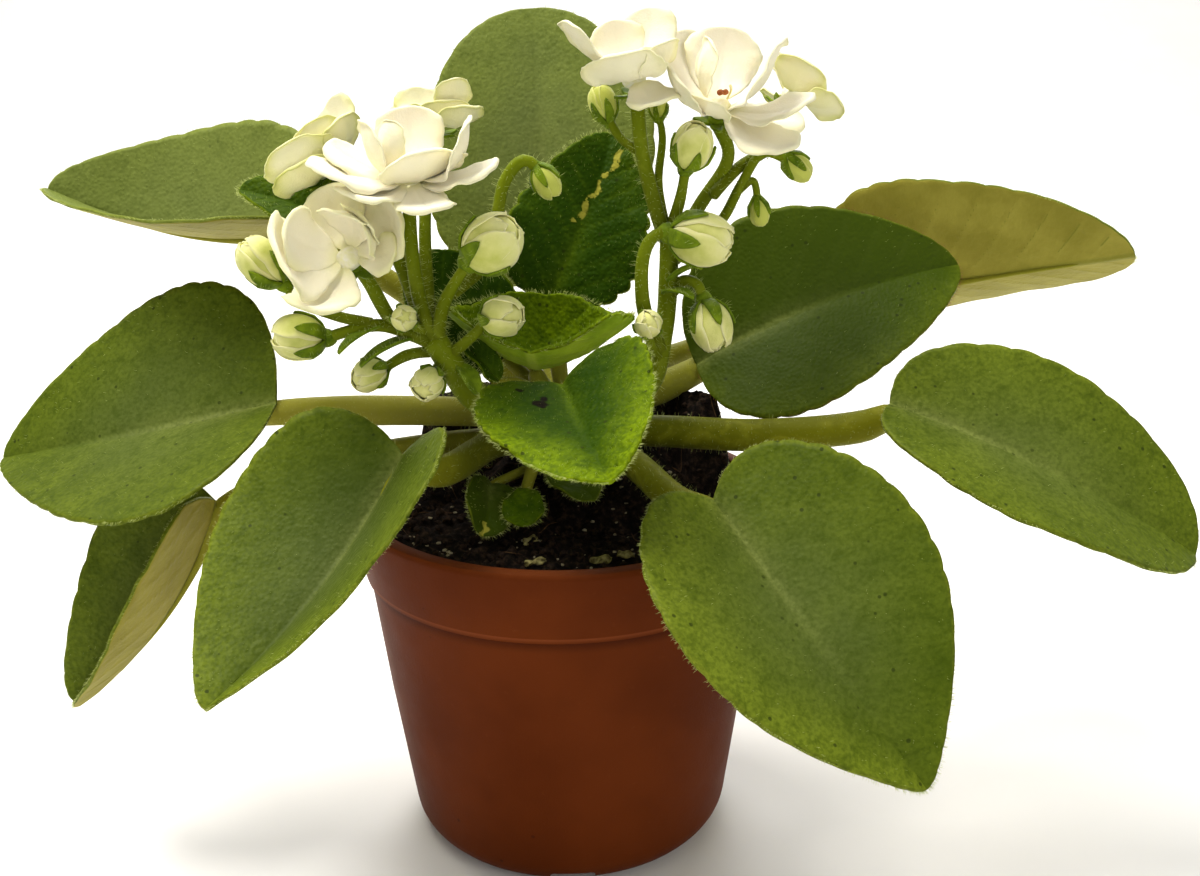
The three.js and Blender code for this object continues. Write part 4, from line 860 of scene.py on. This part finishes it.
def build_bloom(key, bloom):
    """A flower: its petals and the heart that they grow from."""
    face = unit(np.array(bloom["facing"], float))
    centre = np.array(bloom["centre"], float)
    seed = sum(map(ord, key))
    parts = []
    for i, (tip, half, cup) in enumerate(bloom["petals"]):
        lean = unit(np.array(tip) - centre).dot(face)
        green = bloom["green"] * (1.15 - 0.5 * max(0, lean))
        own = seed * 31 + i
        parts.append(petal_sheet(f"petal_{key}_{i}", centre, face, tip, half * 1.06, cup, green, own))
    parts.append(ball("heart_" + key, centre, bloom["facing"], 2.5, HEART_DEPTH, 20, 12, HEART, lumps=0.08))
    finished(joined("petals_" + key, parts), "petal", "bloom_" + key)


def wrapped_bud(name, centre, way, radius, length, green):
    """A closed bud: a core with five petals wrapped over each other, whose lips meet near the top."""
    axes = face_frame(way)
    rng = random.Random(sum(map(ord, name)))
    parts = [ball("core_" + name, centre, way, radius * 0.965, length * 0.99, 28, 16, BUD, lumps=0.03,
                  green=green * 0.9)]
    for k in range(5):
        middle = 2 * math.pi * (k + rng.uniform(-0.12, 0.12)) * 2 / 5
        span = rng.uniform(0.8, 1.0)
        top = rng.uniform(0.86, 0.97)
        lift = 0.99 + 0.022 * k

        def place(u, v, middle=middle, span=span, top=top, lift=lift):
            across = 2 * v - 1
            wide = span * np.sqrt(np.clip(1 - ((u - 0.42) / 0.62) ** 2, 0.02, 1))
            polar = math.pi * (0.1 + (top - 0.1) * u * (1 - 0.1 * across ** 2))
            turn = middle + across * wide * (1 + 0.35 * np.abs(np.cos(polar)))
            lip = 0.06 * np.clip((np.abs(across) - 0.6) / 0.4, 0, 1) ** 2 * np.clip(u * 2 - 0.5, 0, 1)
            lip += 0.08 * np.clip((u - 0.8) / 0.2, 0, 1) ** 2
            points = around(centre, axes, radius * (lift + lip) * np.sin(polar) ** 0.86, turn,
                            -length * (lift + 0.5 * lip) * np.cos(polar))
            rim = np.clip(np.maximum(np.abs(across), u) * 2 - 1.2, 0, 1)
            return points, {"green": green * (1.05 - 0.45 * rim) + 0.25 * np.clip(0.3 - u, 0, 1)}
        parts.append(shaped(f"wrap_{name}_{k}", 17, 12, place, [BUD], wall=0.28))
    return parts


for key, bloom in BLOOMS.items():
    build_bloom(key, bloom)
for key, bud in BUDS.items():
    finished(joined("closed_bud_" + key, wrapped_bud(key, *bud, green=0.85)), "bud", "bud_" + key)


# Anthers and pistils of the flowers that are open enough to show them
def build_anthers(key):
    """The pair of pollen sacs of a flower, and its pistil."""
    face, right, _ = face_frame(BLOOMS[key]["facing"])
    centre = np.array(BLOOMS[key]["centre"], float)
    middle = centre + face * 3.45
    sacs = [ball(f"sac_{key}_{n}", middle + right * 0.55 * hand, right, 0.6, 0.72, 20, 12, ANTHER,
                 lumps=0.1, seed=n) for n, hand in enumerate((-1, 1))]
    finished(joined("pollen_" + key, sacs), "anther", "anthers_" + key)
    line = [centre + face * rise + right * beside for rise, beside in ((1.5, 1.2), (4.0, 1.7), (5.2, 1.1))]
    finished(stem("style_" + key, Tube(line, [0.25, 0.2, 0.32], 12), 10, 12, STYLE, lumps=0.0), "anther")


for key in ("left_1", "right_1", "right_2"):
    build_anthers(key)


# Flower stalks, with their calyxes and bracts
def head_of(name):
    """A flower's or bud's centre and axes, how far it reaches back from there, and the radius of a bud."""
    kind, key = name.split("_", 1)
    if kind == "bloom":
        centre, facing, radius, depth = BLOOMS[key]["centre"], BLOOMS[key]["facing"], None, HEART_DEPTH
    else:
        centre, facing, radius, depth = (BUDS | SMALL_BUDS)[key]
    return np.array(centre, float), face_frame(facing), depth, radius


def between_rows(rows, u):
    """Radius and height at the places u, from 0 to 1, along rows of them."""
    return [np.interp(u, np.linspace(0, 1, len(rows)), column) for column in zip(*rows)]


def sepal(name, centre, axes, turn, rows, width):
    """One sepal: rows give radius and height from the foot to the tip. It narrows to a point."""
    def place(u, v):
        radii, heights = between_rows(rows, u)
        wide = width * np.sin(np.clip(math.pi * (0.18 + 0.82 * u), 0, math.pi)) ** 0.8
        across = 2 * v - 1
        hollow = radii + 0.12 * across ** 2 * width
        turned = turn + across * wide / np.maximum(radii, 1.2)
        return around(centre, axes, hollow, turned, heights), {"run": u}
    return shaped(name, 12, 6, place, [SEPAL], wall=0.5)


def build_calyx(name, rng):
    """The calyx of a flower or bud, with the roots and ways of its hairs."""
    centre, axes, depth, radius = head_of(name)
    face, right, rise = axes
    if radius is None:
        back = -depth - SEAT - FOOT
        rows = [(0.3, back), (1.6, back + 0.1), (3.2, back + 0.4), (4.9, back + 0.9)]
        width, cup, height, seat = 1.2, 2.1, 0.9, back + 0.5
    else:
        rows = [(0.3, -depth - 1.1), (0.62 * radius, -0.95 * depth), (0.95 * radius, -0.62 * depth),
                (1.08 * radius, -0.15 * depth), (1.12 * radius, 0.18 * depth)]
        rows = [(wide + 0.22, level) for wide, level in rows]
        width, cup, height, seat = 0.34 * radius, 0.6 * radius, 0.55 * depth, -depth - 0.35
    parts = []
    for k in range(5):
        turn = 2 * math.pi * (k + 0.5 + 0.1 * rng.uniform(-1, 1)) / 5
        parts.append(sepal(f"sepal_{name}_{k}", centre, axes, turn, rows, width * rng.uniform(0.9, 1.1)))
    parts.append(ball("receptacle_" + name, centre + face * seat, face, cup * 0.8, height, 16, 8, SEPAL))
    count = int(26 + 14 * cup)
    turn = rng.uniform(0, 2 * math.pi, count)
    u = rng.uniform(0, 1, count)
    radii, heights = between_rows(rows, u)
    turn = 2 * math.pi * (np.floor(turn / (2 * math.pi) * 5) + 0.5) / 5
    turn = turn + rng.uniform(-0.3, 0.3, count) * (1 - 0.6 * u)
    roots = around(centre, axes, radii + 0.15, turn, heights)
    out = np.cos(turn)[:, None] * right + np.sin(turn)[:, None] * rise
    return parts, (roots, out - 0.2 * face)


def build_stalk(key, stalk):
    """A flower stalk: its stems, calyxes, smallest buds and bracts as one piece, and the hairs on them."""
    rng = np.random.default_rng(len(key) * 11)
    parts, hairs = [], []
    for n, (line, radii, head) in enumerate(stalk["stems"]):
        if head:
            centre, axes, depth, _ = head_of(head)
            line = [*line, centre - axes[0] * (depth + SEAT + 0.6 * FOOT)]
        tube = Tube(line, radii, 30)
        parts.append(stem(f"stem_{key}_{n}", tube, 14, 30, STALK, lumps=0.05, seed=n))
        hairs.append(tube_hairs(tube, 0.75, rng))
        if head:
            more, down = build_calyx(head, rng)
            parts.extend(more)
            hairs.append(down)
    for name in SMALL_BUDS:
        if key in name:
            more, down = build_calyx("bud_" + name, rng)
            parts.extend(more + wrapped_bud(name, *SMALL_BUDS[name], green=1.25))
            hairs.append(down)
    for n, (base, tip, half) in enumerate(stalk["bracts"]):
        blade = Blade(base, tip, half, arch=0.8, fold=(22, 22))

        def place(u, v, blade=blade):
            return blade.at(math.pi * u, *signed(v))[0], {"run": u}
        parts.append(shaped(f"bract_{key}_{n}", 20, 10, place, [SEPAL], wall=0.55))
        count = 60
        angle = np.arccos(rng.uniform(-0.95, 0.95, count))
        hand = rng.choice([-1.0, 1.0], count)
        edge, skin, _, _ = blade.at(angle, rng.uniform(0.5, 1.0, count), hand)
        hairs.append((edge, skin + blade.side * hand[:, None]))
    finished(joined("flower_stalk_and_calyxes_" + key, parts), "stem", "flower_stalk_" + key)
    roots, ways = [np.vstack(rows) for rows in zip(*hairs)]
    finished(hair_mesh("stalk_hairs_" + key, roots, ways, length=1.6, radius=0.036, seed=5), "stem")


for key, stalk in STALKS.items():
    build_stalk(key, stalk)


# Crown, the short stem that the leaves grow from
def build_crown():
    middle_y, foot_z = 5, 68
    profile = np.array([(0, 0), (6.75, 0), (7.5, 2), (7.5, 21.7), (5.4, 28.5), (0, 31)])
    run = np.concatenate([[0], np.cumsum(np.linalg.norm(np.diff(profile, axis=0), axis=1))])

    def place(u, v):
        turn = 2 * math.pi * u
        r, z = [np.interp(v * run[-1], run, column) for column in profile.T]
        r = r * (1 - 0.06 * np.abs(np.sin(3.5 * turn + 0.3 * z)) * np.clip(z / 10, 0, 1))
        return np.stack([r * np.cos(turn), middle_y + r * np.sin(turn), foot_z + z], 1), {"run": v}
    finished(shaped("leaf_crown", 64, 48, place, [CROWN]), "stem", "crown")


build_crown()


# Soil, in millimetres
def ease(t):
    s = np.clip(t, 0, 1)
    return s * s * (3 - 2 * s)


def ground(x, y):
    """The height of the peat: a mound round the crown, a bank behind it and low clods."""
    away, r = np.hypot(x - 6, y - 12), np.hypot(x, y)
    clods = np.sin(.55 * x + 1.3) * np.sin(.62 * y + .4) + .6 * np.sin(.9 * x - .7 * y)
    turn = np.abs(np.degrees(np.arctan2(y, x)) - 82)
    bank = 17.6 * (1 + .18 * turn / 80) * ease((8.5 - np.abs(r - 33.5)) / 6.5) * ease((80 - turn) / 18)
    edge = ease((40.5 - r) / 5)
    return 72.6 + np.maximum(12.5 * ease((29 - away) / 20), bank * edge) + .66 * clods * edge


def rough_ground(x, y):
    """The ground with its crumbs and hollows: rise, size and place in the noise of each, largest first."""
    crumbs = ((1.1, 4.5, 3), (0.7, 1.7, 9), (0.35, .8, 5))
    rough = np.array([sum(rise * noise.noise(Vector((a / size, b / size, layer)))
                          for rise, size, layer in crumbs) for a, b in zip(x, y)])
    return ground(x, y) + rough * ease((41.3 - np.hypot(x, y)) / 3)


def ground_at(x, y):
    return rough_ground(np.array([x]), np.array([y]))[0]


def random_spot(rng, reach, least=0.0):
    """A place on the ground within reach of the pot's axis."""
    r, turn = reach * math.sqrt(rng.uniform(least, 1)), rng.uniform(0, 2 * math.pi)
    return r * math.cos(turn), r * math.sin(turn)


def build_soil():
    """The peat: its top to 0.8 of the way across the grid, then its wall and its flat foot in the pot."""
    brim, foot = 0.8, 5.8

    def place(u, v):
        turn = 2 * math.pi * u
        r = np.interp(v, [0, brim, .82, .9, .97, 1], [0, 40.9, 41.2, 37.2, 33.4, 0])
        x, y = r * np.cos(turn), r * np.sin(turn)
        wall = np.interp(v, [brim, .82, .9, .97, 1], [72.2, 71.6, 36, foot, foot])
        return np.stack([x, y, np.where(v <= brim, rough_ground(x, y), wall)], 1), {}
    finished(shaped("peat", 220, 90, place, [SOIL]), "soil", "soil")


def build_litter():
    """A few withered scraps of petal and stalk: where each lies, which way, how long and how wide."""
    scraps = [(4.6, -31.5, 20, 4.6, 1.1), (10.2, -28.6, -35, 3.8, .9), (-8, -32, 10, 4.2, .8),
              (-8.5, -22.4, 60, 5, 1), (15, -33, 70, 3, .7)]
    parts = []
    for n, (x, y, turn, long, half) in enumerate(scraps):
        x1, y1 = x + long * math.cos(math.radians(turn)), y + long * math.sin(math.radians(turn))
        base, tip = (x, y, ground_at(x, y) + 0.5), (x1, y1, ground_at(x1, y1) + 1.1)
        blade = Blade(base, tip, half, arch=0.5, fold=(30, -20), sweep=0.9, full=0.3)

        def place(u, v, blade=blade):
            return blade.at(math.pi * u, *signed(v), 0.35 * np.sin(11 * u + 4 * v))[0], {"run": u}
        parts.append(shaped(f"scrap_{n}", 16, 8, place, [LITTER], wall=0.25))
    finished(joined("withered_scraps", parts), "soil")


def scatter(name, count, sizes, skin, seed, flat=0.7):
    """Loose crumbs on the ground: one rough lump modelled once and copied with its own turn and size."""
    select()
    bpy.ops.mesh.primitive_ico_sphere_add(subdivisions=1, radius=1)
    lump = bpy.context.object
    rng = np.random.default_rng(seed)
    shape = np.array([v.co for v in lump.data.vertices])
    faces = [list(p.vertices) for p in lump.data.polygons]
    bpy.data.objects.remove(lump, do_unlink=True)
    points, polygons = [], []
    for n in range(count):
        x, y = random_spot(rng, 40.0)
        size = rng.uniform(*sizes) / 2
        turned = shape * (size * rng.uniform(0.6, 1.2, (len(shape), 1))) * [1, rng.uniform(.5, 1), flat]
        spin = rng.uniform(0, 2 * math.pi)
        c, s = math.cos(spin), math.sin(spin)
        turned = turned @ np.array([[c, s, 0], [-s, c, 0], [0, 0, 1]])
        polygons.extend([[i + len(shape) * n for i in face] for face in faces])
        points.append(turned + [x, y, ground_at(x, y) + size * flat * 0.35])
    finished(plain_mesh(name, np.vstack(points), polygons, skin), "soil")


def build_fibres():
    """Thin roots and strands of peat that lie on the ground, each three steps long."""
    rng = np.random.default_rng(4)
    step, reach = 2.1, 39
    parts = []
    for n in range(34):
        x, y = random_spot(rng, 38, 0.1)
        heading = rng.uniform(0, 2 * math.pi)
        line = []
        for _ in range(4):
            line.append((x, y, ground_at(x, y) + rng.uniform(0.1, 0.9)))
            heading += rng.uniform(-0.7, 0.7)
            x, y = x + step * math.cos(heading), y + step * math.sin(heading)
            pull = min(1, reach / math.hypot(x, y))
            x, y = x * pull, y * pull
        parts.append(stem(f"fibre_{n}", Tube(line, [0.16, 0.13, 0.07], 10), 5, 9, FIBRE, lumps=0.0))
    finished(joined("peat_fibres", parts), "soil")


build_soil()
build_litter()
scatter("peat_crumbs", 420, (1.2, 3.2), CRUMB, seed=8)
scatter("bark_specks", 260, (0.35, 1.3), SPECK, seed=21, flat=0.5)
build_fibres()


# Pot, in millimetres
def build_pot():
    """Extruded ring by ring from the foot to the lip and down again inside, then its foot is notched."""
    rim, height, foot, wall = 45, 76.5, 35, 1.4
    band, bend = height - 15, 8
    corner = foot - bend + .3

    def lean(z):
        return foot + (rim - .9 - foot) * z / height
    rings = [(7.0, 0), (7.5, 4), (corner - 2.6, 4), (corner - 2.2, 0)]
    for i in range(9):
        turn = math.radians(83 * i / 8)
        rings.append((corner + bend * math.sin(turn), bend * (1 - math.cos(turn))))
    rings += [(lean(35), 35), (lean(band - .9), band - .9), (lean(band - .35), band - .35),
              (lean(band) + .75, band + .05), (lean(band) + .9, band + .5),
              (rim - .1, height - 1.6), (rim - .05, height - .7), (rim - .35, height - .2), (rim - 1, height),
              (rim - 2.5, height), (rim - 3.1, height - .25), (rim - 3.3, height - 1),
              (lean(band + 1) - wall, band + 1), (lean(35) - wall, 35), (lean(9) - wall, 9),
              (lean(8) - wall - 3.4, 5.4)]
    select()
    bpy.ops.mesh.primitive_circle_add(vertices=160, radius=rings[0][0] * MM, fill_type="NOTHING")
    pot = bpy.context.object
    pot.name = pot.data.name = "nursery_pot"
    with editing(pot):
        for (r0, z0), (r1, z1) in zip(rings, rings[1:]):
            bpy.ops.mesh.extrude_region_move(TRANSFORM_OT_translate={"value": (0, 0, (z1 - z0) * MM)})
            bpy.ops.transform.resize(value=(r1 / r0, r1 / r0, 1), center_override=(0, 0, z1 * MM))
        # the last ring and then the first are closed, which makes the floor inside and the foot's middle
        bpy.ops.mesh.edge_face_add()
        bpy.ops.mesh.select_all(action="DESELECT")
        bpy.ops.mesh.select_mode(type="EDGE")
        bpy.ops.mesh.select_non_manifold()
        bpy.ops.mesh.edge_face_add()
        bpy.ops.mesh.select_all(action="SELECT")
        bpy.ops.mesh.normals_make_consistent(inside=False)
    notch_at, notch_size = 34 * MM, (24 * MM, 9.5 * MM, 8 * MM)
    for k in range(4):
        turn = math.pi / 2 * k - math.pi / 2
        place = (notch_at * math.cos(turn), notch_at * math.sin(turn), 0)
        select()
        bpy.ops.mesh.primitive_cube_add(size=1, location=place, rotation=(0, 0, turn), scale=notch_size)
        cutter = bpy.context.object
        bpy.ops.object.transform_apply(location=True, rotation=True, scale=True)
        modify(cutter, "BEVEL", width=0.9 * MM, segments=3)
        modify(pot, "BOOLEAN", operation="DIFFERENCE", object=cutter, solver="EXACT")
        bpy.data.objects.remove(cutter, do_unlink=True)
    select(pot)
    bpy.ops.object.shade_smooth_by_angle(angle=math.radians(38))
    pot.data.materials.append(pot_material())
    finished(pot, "pot", "pot")


build_pot()


# Floor, light and camera, in metres
def build_floor():
    """A pale board that bends up into a wall behind the plant."""
    side, ahead, bend = 6, 1.0, 0.8
    select()
    bpy.ops.mesh.primitive_plane_add(size=side, location=(0, -ahead, -0.2 * MM))
    floor = bpy.context.object
    floor.name = "floor"
    bpy.ops.object.transform_apply(location=True, rotation=True, scale=True)
    with editing(floor):
        bpy.ops.mesh.select_mode(type="EDGE")
        bpy.ops.mesh.select_all(action="DESELECT")
    for edge in floor.data.edges:
        edge.select = all(floor.data.vertices[i].co.y > side / 2 - ahead - 0.1 for i in edge.vertices)
    bpy.ops.object.mode_set(mode="EDIT")
    bpy.ops.mesh.extrude_region_move(TRANSFORM_OT_translate={"value": (0, 0, 3)})
    bpy.ops.object.mode_set(mode="OBJECT")
    modify(floor, "BEVEL", width=bend, segments=24, limit_method="ANGLE")
    smooth(floor)
    # matt off-white paint, so even that only the shadow shows on it
    board = [(0.3, "#F2F1EE"), (0.7, "#F6F5F2")]
    floor.data.materials.append(plain_material("pale painted board", board, 60, 0.8, 0.02))


def soft_light(name, place, target, size, watts, colour):
    """A round soft lamp, size metres across, that looks at its target."""
    data = bpy.data.lights.new(name, "AREA")
    data.shape = "DISK"
    data.size = size
    data.energy = watts
    data.color = linear(colour)[:3]
    lamp = bpy.data.objects.new(name, data)
    PLANT.objects.link(lamp)
    lamp.location = place
    lamp.rotation_euler = (Vector(target) - Vector(place)).to_track_quat("-Z", "Y").to_euler()


def build_light():
    plant = (0, 0, 0.1)
    soft_light("overhead_softbox", (-0.4, 0.1, 1.15), plant, 0.7, 20, "#FFFAF2")
    soft_light("front_softbox", (0.7, -1.2, 0.75), plant, 0.8, 4, "#FFFDF8")
    soft_light("back_softbox", (0.3, 1.1, 0.7), plant, 0.8, 5, "#FFFFFF")
    soft_light("backdrop_light", (0, 1.3, 1.9), (0, 1.95, 0.4), 1.0, 22, "#FFFFFF")
    world = bpy.data.worlds.new("studio")
    bpy.context.scene.world = world
    world.use_nodes = True
    colour, strength = world.node_tree.nodes["Background"].inputs[:2]
    colour.default_value = linear("#FAFAFA")
    strength.default_value = 0.4
    bpy.context.scene.view_settings.view_transform = "Standard"


def build_camera():
    """The photograph's camera: where it stands, and its pitch, yaw and roll in radians."""
    place, pitch, yaw, roll = (0, -0.2742, 0.1791), 0.3204, 0.0284, -0.0132
    focus, picture = 1359, 1200  # the focal length and the picture's width, in pixels
    data = bpy.data.cameras.new("camera")
    data.sensor_width = 36
    data.lens = focus / picture * data.sensor_width
    data.clip_start = 0.01
    camera = bpy.data.objects.new("camera", data)
    PLANT.objects.link(camera)
    forward = Vector((math.sin(yaw) * math.cos(pitch), math.cos(yaw) * math.cos(pitch), -math.sin(pitch)))
    right = forward.cross(Vector((0, 0, 1))).normalized()
    over = right.cross(forward)
    x = right * math.cos(roll) + over * math.sin(roll)
    y = over * math.cos(roll) - right * math.sin(roll)
    camera.matrix_world = Matrix.Translation(place) @ Matrix((x, y, -forward)).transposed().to_4x4()
    bpy.context.scene.camera = camera


build_floor()
build_light()
build_camera()
